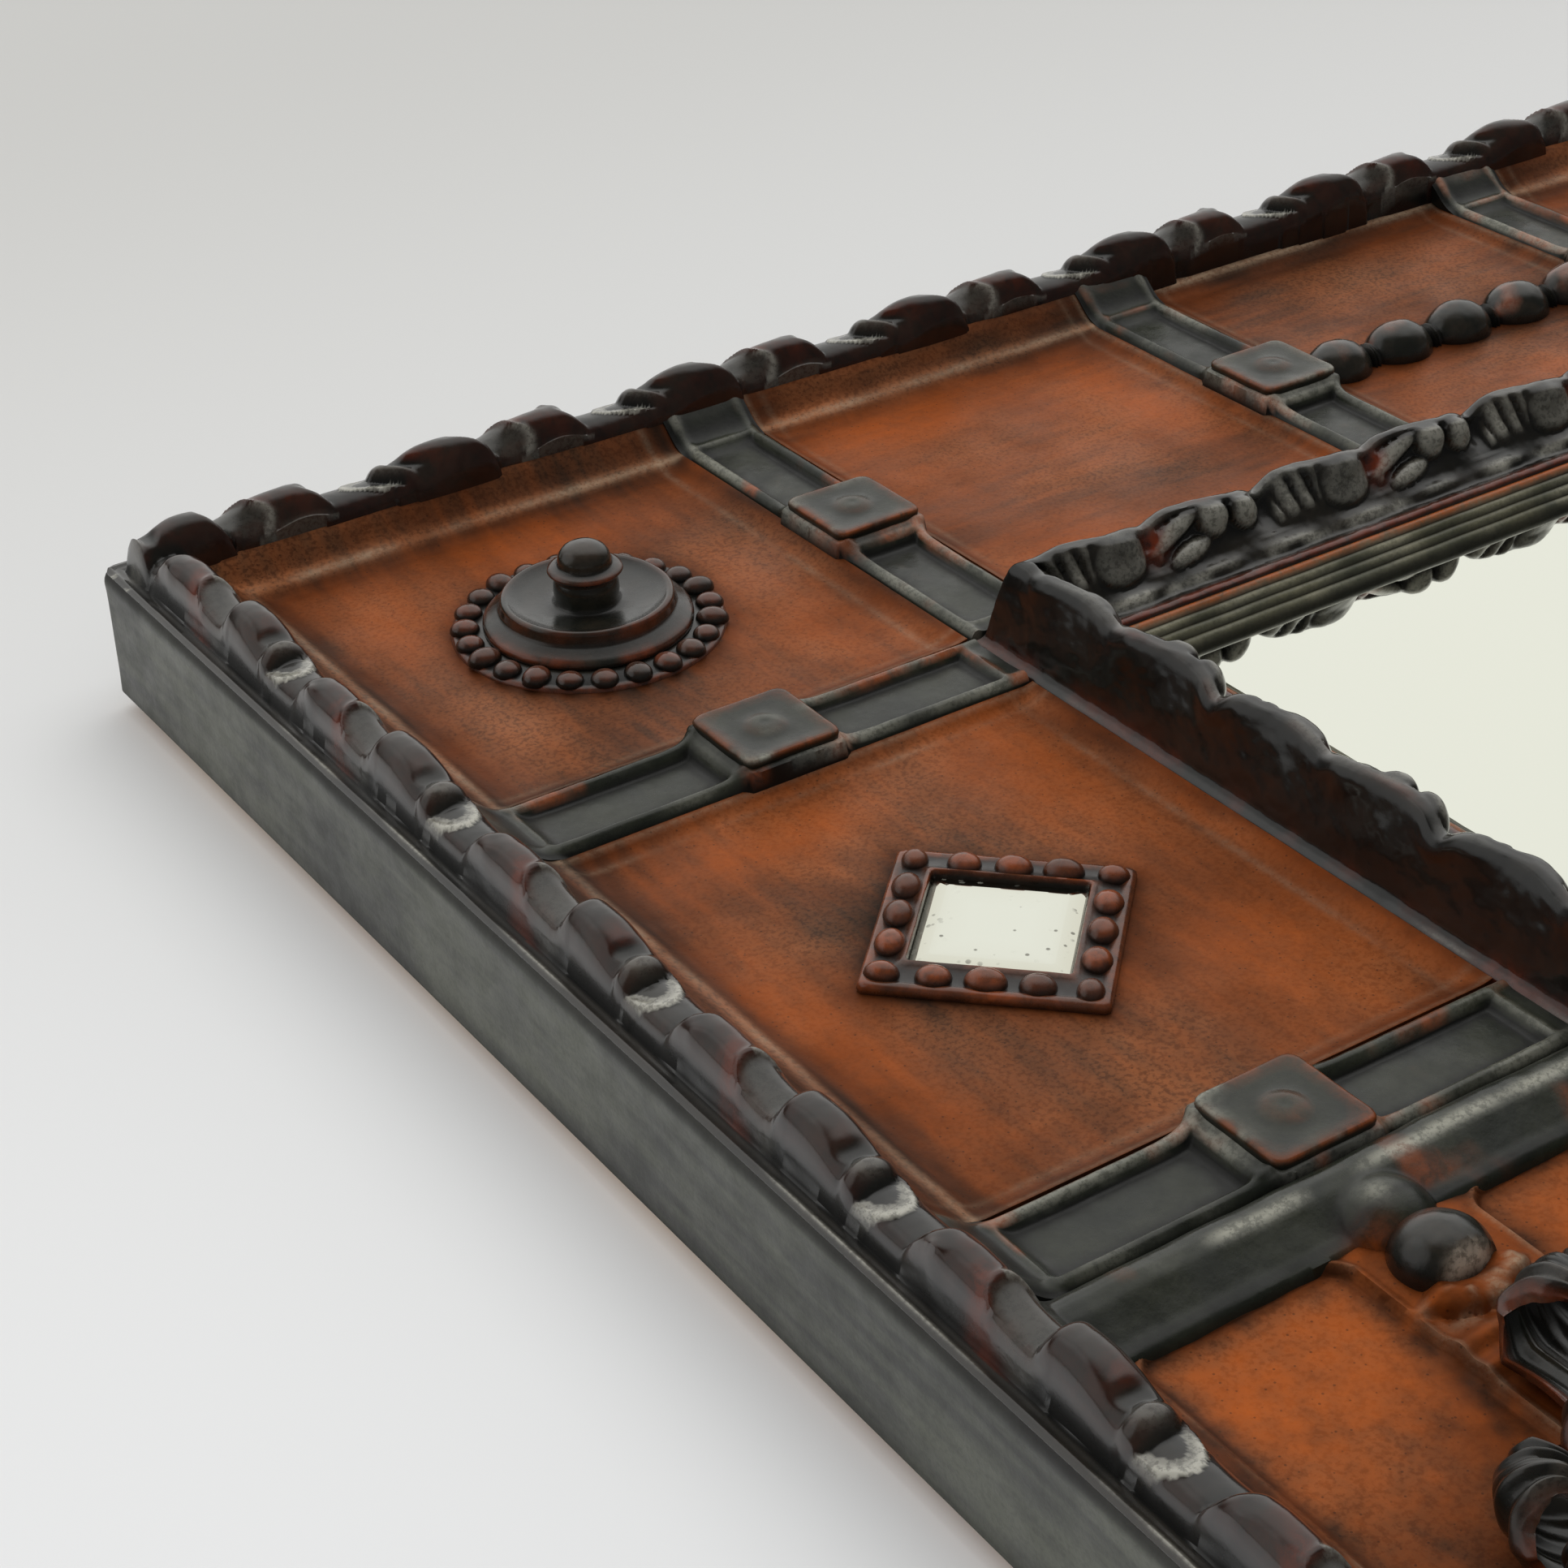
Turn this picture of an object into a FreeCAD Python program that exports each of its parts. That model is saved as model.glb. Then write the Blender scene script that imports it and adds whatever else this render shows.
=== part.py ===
import FreeCAD
import Part
import Sketcher
import math
import os

# Framed wall mirror: mitred boards clad in embossed metal, seen from the front along +Y.
# +Z is up, +X is to the right, and the origin is the middle of the rear face on the wall plane.

doc = FreeCAD.newDocument("embossed_mirror")
sheet = doc.addObject("Spreadsheet::Sheet", "sizes")

SIZES = [
    # whole frame
    ("frame_width", 730.0),
    ("frame_height", 924.0),
    ("board_thick", 24.5),
    ("corner_round", 5.0),
    ("cut_overrun", 5.0),
    # metal skin on the sides, with its ledge
    ("skin_thick", 1.0),
    ("side_height", 32.5),
    ("ledge_width", 3.0),
    # outer border moulding and its run of lobes
    ("border_width", 23.0),
    ("border_rise", 10.5),
    ("border_shoulder", 3.5),
    ("border_foot", 4.0),
    ("lobe_axis", 12.6),
    ("loaf_radius", 9.2),
    ("loaf_length_share", 0.55),
    ("ribbon_radius", 8.0),
    ("ribbon_length_share", 0.45),
    ("lobes_on_tall", 12),
    ("lobes_on_wide", 10),
    ("lobe_end_share", 0.45),
    ("ball_radius", 6.5),
    ("tall_ribbon_share", 0.31),
    ("tall_loaf_share", 0.82),
    ("wide_ribbon_share", 0.22),
    ("wide_loaf_share", 0.68),
    ("ball_after_loaf_share", 0.21),
    # sheet panels between the straps
    ("panel_depth", 127.0),
    ("panel_floor", 1.0),
    ("panel_rise", 2.8),
    ("panel_rim", 2.5),
    ("panel_cove", 7.0),
    ("panel_soften", 12.0),
    ("mirror_panel_share", 0.273),
    ("plain_panel_share", 0.334),
    ("bead_panel_rise", 5.0),
    ("bead_panel_cove", 9.0),
    # straps and the clasps that sit across them
    ("strap_width", 24.5),
    ("strap_rise", 5.0),
    ("strap_channel", 1.8),
    ("strap_rim", 3.0),
    ("strap_bevel", 1.5),
    ("clasp_length", 25.0),
    ("clasp_rise", 11.0),
    ("clasp_edge", 1.5),
    ("clasp_button_radius", 4.0),
    ("clasp_button_rise", 0.8),
    # inner moulding round the mirror
    ("leaf_width", 25.0),
    ("crest_rise", 23.0),
    ("crest_lean", 7.5),
    ("crest_width", 5.5),
    ("crest_lobe_radius", 6.0),
    ("crest_lobe_rise", 2.0),
    ("crest_lobes_on_tall", 18),
    ("crest_lobes_on_wide", 12),
    ("crest_lobe_share", 1.1),
    ("crest_round_share", 0.55),
    ("wall_fillet", 3.0),
    ("toe_rise", 9.5),
    ("sight_width", 9.0),
    ("sight_step", 1.8),
    ("sight_lip", 1.2),
    # mirror plate and what holds it
    ("glass_proud", 2.5),
    ("glass_thick", 4.0),
    ("glass_gap", 1.5),
    ("backing_thick", 3.5),
    ("brad_radius", 0.8),
    ("brad_length", 18.0),
    ("brad_bite", 10.0),
    ("brads_on_side", 4),
    # corner boss: beaded ring and turned knob
    ("ring_radius", 33.0),
    ("ring_thick", 1.6),
    ("ring_bead_radius", 3.5),
    ("ring_bead_margin", 0.5),
    ("ring_bead_count", 23),
    ("disc_radius", 24.7),
    ("disc_thick", 4.0),
    ("rim_radius", 20.0),
    ("rim_rise", 3.4),
    ("dish_drop", 2.4),
    ("neck_radius", 7.2),
    ("neck_height", 8.0),
    ("cap_radius", 9.6),
    ("cap_lip", 1.4),
    ("dome_radius", 7.8),
    ("dome_height", 6.8),
    # small square mirrors set cornerwise
    ("bezel_side", 49.5),
    ("bezel_thick", 3.0),
    ("bezel_bead_radius", 4.0),
    ("bezel_beads_on_side", 5),
    ("small_glass_side", 32.6),
    ("small_glass_thick", 2.4),
    ("small_glass_bevel", 4.0),
    ("small_glass_gap", 0.2),
    # rod of beads on the short sides
    ("rod_bead_share", 0.87),
    ("rod_bead_height", 8.0),
    ("rod_bead_count", 5),
    ("rod_half_width", 4.0),
    ("rod_height", 3.5),
    # centre ornament on the long sides
    ("bar_width", 15.5),
    ("stem_width", 34.0),
    ("stem_rise", 6.5),
    ("stem_node_radius", 13.0),
    ("stem_node_height", 8.5),
    ("stem_bead_radius", 8.5),
    ("stem_bead_height", 11.0),
    ("stem_bead_gap", 14.5),
    ("rosette_radius", 56.0),
    ("rosette_thick", 2.5),
    ("rosette_heart_radius", 20.0),
    ("rosette_heart_height", 9.0),
    ("leaf_radius", 8.0),
    ("leaf_length", 43.0),
    ("leaf_count", 8),
    ("leaf_root_share", 0.55),
    ("leaf_tip_share", 0.2),
    ("leaf_bow_share", 0.9),
    ("bud_radius", 7.0),
    ("bud_length", 30.0),
    # ring hangers on the back
    ("hanger_drop", 210.0),
    ("hanger_inset", 90.0),
    ("plate_width", 13.0),
    ("plate_length", 46.0),
    ("plate_thick", 1.0),
    ("ring_wire_radius", 1.3),
    ("ring_fit", 0.05),
    ("ring_lift", 0.3),
    ("ring_half_width", 10.5),
    ("ring_corner_radius", 3.0),
    ("ring_leg", 2.0),
    ("ring_butt_gap", 0.4),
    ("screw_radius", 1.9),
    ("screw_head_radius", 3.7),
    ("screw_head_height", 1.8),
    ("screw_length", 16.0),
    ("screw_fit", 0.2),
    ("first_screw_drop", 23.0),
    ("second_screw_drop", 38.0),
]

for row, (alias, value) in enumerate(SIZES, start=1):
    cell = "A%d" % row
    sheet.set(cell, str(value))
    sheet.setAlias(cell, alias)
doc.recompute()

# Levels over the wall plane and places across the band, as expressions of the named sizes.
BOARD = "sizes.board_thick"
LEDGE = "(sizes.side_height - sizes.skin_thick)"
BORDER_TOP = "(sizes.board_thick + sizes.border_rise)"
WALL_FOOT = "(sizes.border_width + sizes.panel_depth)"
BOARD_WIDTH = "(sizes.border_width + sizes.panel_depth + sizes.leaf_width)"
GLASS_FRONT = "(sizes.board_thick + sizes.glass_proud)"
SIGHT_EDGE = "(%s + sizes.sight_width)" % BOARD_WIDTH
MITRE_REACH = "(%s + sizes.cut_overrun)" % SIGHT_EDGE
PANEL_FACE = "(sizes.board_thick + sizes.panel_floor)"
BAND_MIDDLE = "(sizes.border_width + sizes.panel_depth / 2)"
FIRST_STRAP = WALL_FOOT
TALL_RUN = "(sizes.frame_height - 2 * %s - 4 * sizes.strap_width)" % WALL_FOOT
WIDE_RUN = "(sizes.frame_width - 2 * %s - 4 * sizes.strap_width)" % WALL_FOOT
MIRROR_LENGTH = "(%s * sizes.mirror_panel_share)" % TALL_RUN
PLAIN_LENGTH = "(%s * sizes.plain_panel_share)" % WIDE_RUN
MIRROR_PANEL = "(%s + sizes.strap_width)" % FIRST_STRAP
MIRROR_STRAP = "(%s + %s)" % (MIRROR_PANEL, MIRROR_LENGTH)
CENTRE_TALL = "(%s + sizes.strap_width)" % MIRROR_STRAP
PLAIN_PANEL = MIRROR_PANEL
PLAIN_STRAP = "(%s + %s)" % (PLAIN_PANEL, PLAIN_LENGTH)
CENTRE_WIDE = "(%s + sizes.strap_width)" % PLAIN_STRAP
CENTRE_TALL_LENGTH = "(sizes.frame_height - 2 * %s)" % CENTRE_TALL
CENTRE_WIDE_LENGTH = "(sizes.frame_width - 2 * %s)" % CENTRE_WIDE
BARREL_RADIUS = "(sizes.ring_wire_radius + sizes.ring_fit + sizes.plate_thick)"
PIN_HEIGHT = "(sizes.plate_thick + sizes.ring_lift + sizes.ring_wire_radius)"

X_AXIS = FreeCAD.Vector(1, 0, 0)
Y_AXIS = FreeCAD.Vector(0, 1, 0)
Z_AXIS = FreeCAD.Vector(0, 0, 1)
NO_TURN = FreeCAD.Rotation()
UPRIGHT = FreeCAD.Placement(FreeCAD.Vector(0, 0, 0), FreeCAD.Rotation(X_AXIS, 90))

parts = []


def num(expression):
    """Value of an expression of the named sizes."""
    return float(sheet.evalExpression(str(expression)))


def vec(x, y, z):
    """Point whose coordinates are expressions."""
    return FreeCAD.Vector(num(x), num(y), num(z))


def plane(body, role):
    return [item for item in body.Origin.OriginFeatures if item.Role == role][0]


def keep(item, label, placement):
    """Name a finished sub-part, place it and list it for writing."""
    item.Label = label
    item.Placement = placement
    parts.append(item)
    return item


def new_body(name):
    return doc.addObject("PartDesign::Body", name)


def new_sketch(body, role, offset=None):
    """Sketch on one of the body's own planes; offset is an x, y, z triple of expressions."""
    sketch = body.newObject("Sketcher::SketchObject", body.Name + "_sketch")
    sketch.AttachmentSupport = (plane(body, role), [""])
    sketch.MapMode = "FlatFace"
    for axis, expression in zip("xyz", offset or ()):
        sketch.setExpression("AttachmentOffset.Base." + axis, expression)
    return sketch


def pin_point(sketch, edge, end, point):
    """Hold one end of an edge at a pair of expressions."""
    for kind, expression in zip(("DistanceX", "DistanceY"), point):
        index = sketch.addConstraint(Sketcher.Constraint(kind, -1, 1, edge, end, num(expression)))
        sketch.setExpression("Constraints[%d]" % index, expression)


def add_outline(sketch, points, arcs=None):
    """Closed outline through the points; arcs gives a radius for the edge after that point.

    A positive radius bulges to the right of the way the outline runs."""
    arcs = arcs or {}
    first = sketch.GeometryCount
    count = len(points)
    ends = []
    for index in range(count):
        start = vec(points[index][0], points[index][1], 0)
        stop = vec(points[(index + 1) % count][0], points[(index + 1) % count][1], 0)
        if index in arcs:
            radius = num(arcs[index])
            chord = stop - start
            side = FreeCAD.Vector(-chord.y, chord.x, 0).normalize()
            reach = math.sqrt(max(radius ** 2 - (chord.Length / 2) ** 2, 0.0))
            turn = 1 if radius > 0 else -1
            centre = (start + stop) * 0.5 + side * reach * turn
            circle = Part.Circle(centre, Z_AXIS, abs(radius))
            low, high = (start, stop) if turn > 0 else (stop, start)
            curve = Part.ArcOfCircle(circle, circle.parameter(low), circle.parameter(high))
            ends.append((1, 2) if turn > 0 else (2, 1))
        else:
            curve = Part.LineSegment(start, stop)
            ends.append((1, 2))
        sketch.addGeometry(curve, False)
    for index in range(count):
        after = (index + 1) % count
        sketch.addConstraint(Sketcher.Constraint(
            "Coincident", first + index, ends[index][1], first + after, ends[after][0]))
        pin_point(sketch, first + index, ends[index][0], points[index])
        if index in arcs:
            radius = abs(num(arcs[index]))
            held = sketch.addConstraint(Sketcher.Constraint("Radius", first + index, radius))
            sketch.setExpression("Constraints[%d]" % held, "abs(%s)" % arcs[index])


def add_circle(sketch, x, y, radius):
    circle = Part.Circle(vec(x, y, 0), Z_AXIS, num(radius))
    edge = sketch.addGeometry(circle, False)
    held = sketch.addConstraint(Sketcher.Constraint("Radius", edge, num(radius)))
    sketch.setExpression("Constraints[%d]" % held, radius)
    pin_point(sketch, edge, 3, (x, y))


def rectangle(x_low, y_low, x_high, y_high):
    return [(x_low, y_low), (x_high, y_low), (x_high, y_high), (x_low, y_high)]


def pad(body, sketch, length):
    feature = body.newObject("PartDesign::Pad", body.Name + "_pad")
    feature.Profile = sketch
    feature.setExpression("Length", length)
    return feature


def pocket(body, sketch, length=None, reverse=True):
    """Pocket that runs along the sketch's normal when reversed; right through with no length."""
    feature = body.newObject("PartDesign::Pocket", body.Name + "_pocket")
    feature.Profile = sketch
    feature.Reversed = reverse
    if length is None:
        feature.Type = "ThroughAll"
    else:
        feature.setExpression("Length", length)
    return feature


def dome(body, spot, radius, height):
    """Round cap on a level: spot is its middle's x, its level and the distance across."""
    sketch = new_sketch(body, "XZ_Plane", (spot[0], spot[1], "-(%s)" % spot[2]))
    crown = "((%s)^2 + (%s)^2) / (2 * %s)" % (radius, height, height)
    add_outline(sketch, [("0", "0"), (radius, "0"), ("0", height)], {1: crown})
    return revolve(body, sketch, "V_Axis"), sketch


def revolve(body, sketch, axis):
    feature = body.newObject("PartDesign::Revolution", body.Name + "_turned")
    feature.Profile = sketch
    feature.ReferenceAxis = (sketch, [axis])
    feature.Angle = 360
    return feature


def repeat_in_line(body, feature, sketch, axis, span, count):
    pattern = body.newObject("PartDesign::LinearPattern", body.Name + "_row")
    pattern.Originals = [feature]
    pattern.Direction = (sketch, [axis])
    pattern.setExpression("Length", span)
    pattern.setExpression("Occurrences", count)
    body.Tip = pattern
    return pattern


def repeat_round(body, feature, count):
    pattern = body.newObject("PartDesign::PolarPattern", body.Name + "_round")
    pattern.Originals = [feature]
    axis = [item for item in body.Origin.OriginFeatures if item.Role == "Z_Axis"][0]
    pattern.Axis = (axis, [""])
    pattern.Angle = 360
    pattern.setExpression("Occurrences", count)
    body.Tip = pattern
    return pattern


def tray(body, low, high, rim, cove, depth, top):
    """Sink a dished field between two corners, with sloping sides, from the level top."""
    wide = new_sketch(body, "XY_Plane", ("0", "0", top))
    inner_low = ["(%s) + %s" % (value, rim) for value in low]
    inner_high = ["(%s) - %s" % (value, rim) for value in high]
    add_outline(wide, rectangle(inner_low[0], inner_low[1], inner_high[0], inner_high[1]))
    narrow = new_sketch(body, "XY_Plane", ("0", "0", "(%s) - (%s)" % (top, depth)))
    field_low = ["%s + %s" % (value, cove) for value in inner_low]
    field_high = ["%s - %s" % (value, cove) for value in inner_high]
    add_outline(narrow, rectangle(field_low[0], field_low[1], field_high[0], field_high[1]))
    feature = body.newObject("PartDesign::SubtractiveLoft", body.Name + "_tray")
    feature.Profile = wide
    feature.Sections = [narrow]
    feature.Ruled = True
    return feature


def soften(body, feature, level):
    """Round a sunk field's floor into its sloping sides."""
    doc.recompute()
    floor = num(level)
    names = []
    for index, edge in enumerate(feature.Shape.Edges, start=1):
        heights = [vertex.Z for vertex in edge.Vertexes]
        if len(heights) == 2 and all(math.isclose(height, floor) for height in heights):
            names.append("Edge%d" % index)
    rounded = body.newObject("PartDesign::Fillet", body.Name + "_soft")
    rounded.Base = (feature, names)
    rounded.setExpression("Radius", "sizes.panel_soften")
    body.Tip = rounded
    return rounded


def corner_at(inset):
    """Where a line at this inset, following the frame's rounded corner, meets the mitre."""
    return "(sizes.corner_round - (sizes.corner_round - %s) / sqrt(2))" % inset


def strip(body, length, low, high, level, height):
    """Flat strip of one side between two insets, mitred and following the rounded corners."""
    sketch = new_sketch(body, "XY_Plane", ("0", "0", level))
    bend = "sizes.corner_round"
    mitre_low = corner_at(low)
    points = [(mitre_low, mitre_low), (bend, low), ("%s - %s" % (length, bend), low),
              ("%s - %s" % (length, mitre_low), mitre_low)]
    arcs = {0: "(%s - %s)" % (bend, low), 2: "(%s - %s)" % (bend, low)}
    if num(high) < num(bend):
        mitre_high = corner_at(high)
        points += [("%s - %s" % (length, mitre_high), mitre_high), ("%s - %s" % (length, bend), high),
                   (bend, high), (mitre_high, mitre_high)]
        arcs[4] = "-(%s - %s)" % (bend, high)
        arcs[6] = "-(%s - %s)" % (bend, high)
    else:
        points += [("%s - %s" % (length, high), high), (high, high)]
    add_outline(sketch, points, arcs)
    return pad(body, sketch, height)


def trim_corners(body, length, inset, level, height):
    """Cut away what stands outside the rounded corners at this inset, above a level."""
    sketch = new_sketch(body, "XY_Plane", ("0", "0", level))
    bend = "sizes.corner_round"
    meet = corner_at(inset)
    arc = "-(%s - %s)" % (bend, inset)
    add_outline(sketch, [("0", "0"), (bend, "0"), (bend, inset), (meet, meet)], {2: arc})
    add_outline(sketch, [(length, "0"), ("%s - %s" % (length, meet), meet),
                         ("%s - %s" % (length, bend), inset), ("%s - %s" % (length, bend), "0")],
                {1: arc})
    return pocket(body, sketch, height)


def mitre(body, length):
    """Cut both ends of a moulding at 45 degrees, from the outer edge inwards."""
    sketch = new_sketch(body, "XY_Plane")
    beyond = "%s + %s" % (length, MITRE_REACH)
    add_outline(sketch, [("0", "0"), (MITRE_REACH, MITRE_REACH),
                         ("-" + MITRE_REACH, MITRE_REACH), ("-" + MITRE_REACH, "0")])
    add_outline(sketch, [(length, "0"), (beyond, "0"), (beyond, MITRE_REACH),
                         ("%s - %s" % (length, MITRE_REACH), MITRE_REACH)])
    return pocket(body, sketch)


def moulding(name, length, points, arcs=None):
    """Straight run of a profile across the band (x) and over the wall (y)."""
    body = new_body(name)
    sketch = new_sketch(body, "YZ_Plane")
    add_outline(sketch, points, arcs)
    pad(body, sketch, length)
    return body


def group(label, template, placements):
    """Several separate solids of one shape in one sub-part."""
    doc.recompute()
    base = template.Shape.copy()
    base.Placement = FreeCAD.Placement()
    copies = [base.transformed(place.toMatrix()) for place in placements]
    feature = doc.addObject("Part::Feature", label)
    feature.Shape = Part.makeCompound(copies)
    return keep(feature, label, FreeCAD.Placement())


# The four sides run round the frame the same way, each from its own corner.
SIDES = {
    "bottom": ("sizes.frame_width", "-sizes.frame_width / 2", "-sizes.frame_height / 2", 0),
    "right": ("sizes.frame_height", "sizes.frame_width / 2", "-sizes.frame_height / 2", 90),
    "top": ("sizes.frame_width", "sizes.frame_width / 2", "sizes.frame_height / 2", 180),
    "left": ("sizes.frame_height", "-sizes.frame_width / 2", "sizes.frame_height / 2", 270),
}
TALL = ("left", "right")


def on_side(side, along="0", across="0", over="0", turn=0):
    """Placement on a side: along it, across the band from the outer edge, over the wall plane."""
    length, u, v, angle = SIDES[side]
    corner = FreeCAD.Placement(vec(u, v, 0), FreeCAD.Rotation(Z_AXIS, angle))
    spot = FreeCAD.Placement(vec(along, across, over), FreeCAD.Rotation(Z_AXIS, turn))
    return UPRIGHT * corner * spot


def board(side):
    """Mitred board, clad on its outer edge, with pilot holes where a hanger is screwed."""
    length = SIDES[side][0]
    body = new_body("board_" + side)
    strip(body, length, "sizes.skin_thick", BOARD_WIDTH, "0", BOARD)
    if side in TALL:
        holes = new_sketch(body, "XY_Plane")
        for drop in ("sizes.first_screw_drop", "sizes.second_screw_drop"):
            down = "(sizes.hanger_drop + %s)" % drop
            along = down if side == "left" else "%s - %s" % (length, down)
            add_circle(holes, along, "sizes.hanger_inset", "sizes.screw_radius")
        pocket(body, holes, "sizes.screw_length - sizes.plate_thick")
    keep(body, "board_" + side, on_side(side))


def side_skin(side):
    """Sheet strip over the board's edge, turned in at the top as a narrow ledge."""
    length = SIDES[side][0]
    body = new_body("side_skin_" + side)
    strip(body, length, "0", "sizes.skin_thick", "0", LEDGE)
    strip(body, length, "0", "sizes.ledge_width", LEDGE, "sizes.skin_thick")
    keep(body, "side_skin_" + side, on_side(side))


def lobe_row(body, axis, run, count, centre_share, length_share, radius):
    """Blunt barrel-shaped lobes along a moulding; axis is the row's start, level and inset."""
    pitch = "(%s / %s)" % (run, count)
    lobe_length = "(%s * %s)" % (pitch, length_share)
    start = "(%s * %s - %s / 2)" % (pitch, centre_share, lobe_length)
    sketch = new_sketch(body, "XZ_Plane", (axis[0], axis[1], "-" + axis[2]))
    end_height = "(%s * sizes.lobe_end_share)" % radius
    stop = "(%s + %s)" % (start, lobe_length)
    crown = "((%s / 2)^2 + (%s - %s)^2) / (2 * (%s - %s))" % (
        lobe_length, radius, end_height, radius, end_height)
    add_outline(sketch, [(start, "0"), (stop, "0"), (stop, end_height), (start, end_height)],
                {2: crown})
    lobe = revolve(body, sketch, "H_Axis")
    repeat_in_line(body, lobe, sketch, "H_Axis", "%s * (%s - 1)" % (pitch, count), count)


def border(side):
    """Outer moulding: a low base with two kinds of lobe taking turns, and a ball after each loaf."""
    length = SIDES[side][0]
    kind = "tall" if side in TALL else "wide"
    count = "sizes.lobes_on_" + kind
    edge = "sizes.border_width"
    body = new_body("border_" + side)
    strip(body, length, "sizes.skin_thick", edge, BOARD, "%s - %s" % (LEDGE, BOARD))
    strip(body, length, "sizes.ledge_width", edge, LEDGE, "%s - %s" % (BORDER_TOP, LEDGE))
    shoulder = new_sketch(body, "YZ_Plane")
    add_outline(shoulder, [(edge, "%s + sizes.border_foot" % BOARD), (edge, BORDER_TOP),
                           (edge + " - sizes.border_shoulder", BORDER_TOP)])
    pocket(body, shoulder)
    axis = ("0", BORDER_TOP, "sizes.lobe_axis")
    loaf = "sizes.%s_loaf_share" % kind
    lobe_row(body, axis, length, count, loaf, "sizes.loaf_length_share", "sizes.loaf_radius")
    lobe_row(body, axis, length, count, "sizes.%s_ribbon_share" % kind,
             "sizes.ribbon_length_share", "sizes.ribbon_radius")
    pitch = "(%s / %s)" % (length, count)
    first = "(%s * (%s + sizes.ball_after_loaf_share))" % (pitch, loaf)
    ball, sketch = dome(body, (first, BORDER_TOP, "sizes.lobe_axis"), "sizes.ball_radius",
                        "sizes.ball_radius")
    repeat_in_line(body, ball, sketch, "H_Axis", "%s * (%s - 2)" % (pitch, count), count + " - 1")
    mitre(body, length)
    trim_corners(body, length, "sizes.ledge_width", LEDGE,
                 "sizes.border_rise + sizes.loaf_radius + sizes.cut_overrun")
    keep(body, "border_" + side, on_side(side))


def leaf_moulding(side):
    """High inner moulding: a leaning outer wall, a round crest and a long slope to the toe."""
    length = SIDES[side][0]
    crest = "(%s + sizes.crest_rise)" % BOARD
    outer = "(%s + sizes.crest_lean)" % WALL_FOOT
    body = moulding("leaf_moulding_" + side, length, [
        (WALL_FOOT, BOARD),
        (BOARD_WIDTH, BOARD),
        (BOARD_WIDTH, "%s + sizes.toe_rise" % BOARD),
        ("%s + sizes.crest_width" % outer, "%s - sizes.crest_width / 2" % crest),
        (outer, "%s - sizes.crest_width / 2" % crest),
        ("%s + sizes.wall_fillet / 2" % WALL_FOOT, "%s + sizes.wall_fillet" % BOARD),
    ], {3: "sizes.crest_width * sizes.crest_round_share"})
    middle = "(%s + sizes.crest_width / 2)" % outer
    level = "(%s + sizes.crest_lobe_rise - sizes.crest_lobe_radius)" % crest
    run = "(%s - 2 * %s)" % (length, middle)
    count = "sizes.crest_lobes_on_tall" if side in TALL else "sizes.crest_lobes_on_wide"
    lobe_row(body, (middle, level, middle), run, count, "0.5", "sizes.crest_lobe_share",
             "sizes.crest_lobe_radius")
    mitre(body, length)
    keep(body, "leaf_moulding_" + side, on_side(side))


def sight_moulding(side):
    """Stepped inner moulding that lies on the mirror plate's margin."""
    length = SIDES[side][0]
    top = "(%s + sizes.toe_rise)" % BOARD
    lip = "(%s + sizes.sight_lip)" % GLASS_FRONT
    points = [(BOARD_WIDTH, GLASS_FRONT), (SIGHT_EDGE, GLASS_FRONT), (SIGHT_EDGE, lip)]
    steps = 3
    for step in range(1, steps + 1):
        across = "%s - sizes.sight_width * %d / %d" % (SIGHT_EDGE, step, steps + 1)
        low = "%s + (%s - %s) * %d / %d" % (lip, top, lip, step - 1, steps)
        high = "%s + (%s - %s) * %d / %d" % (lip, top, lip, step, steps)
        points.append((across, low + " + sizes.sight_step / 3"))
        points.append((across, high))
    points.append((BOARD_WIDTH, top))
    body = moulding("sight_moulding_" + side, length, points)
    mitre(body, length)
    keep(body, "sight_moulding_" + side, on_side(side))


def panel(label, length, rise, cove, placement):
    """Sheet panel as deep as the band, with its field sunk below a low rim."""
    body = new_body(label)
    top = "(sizes.panel_floor + %s)" % rise
    sketch = new_sketch(body, "XY_Plane")
    add_outline(sketch, rectangle("0", "0", length, "sizes.panel_depth"))
    pad(body, sketch, top)
    field = tray(body, ("0", "0"), (length, "sizes.panel_depth"), "sizes.panel_rim", cove, rise, top)
    soften(body, field, "sizes.panel_floor")
    return keep(body, label, placement)


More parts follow.
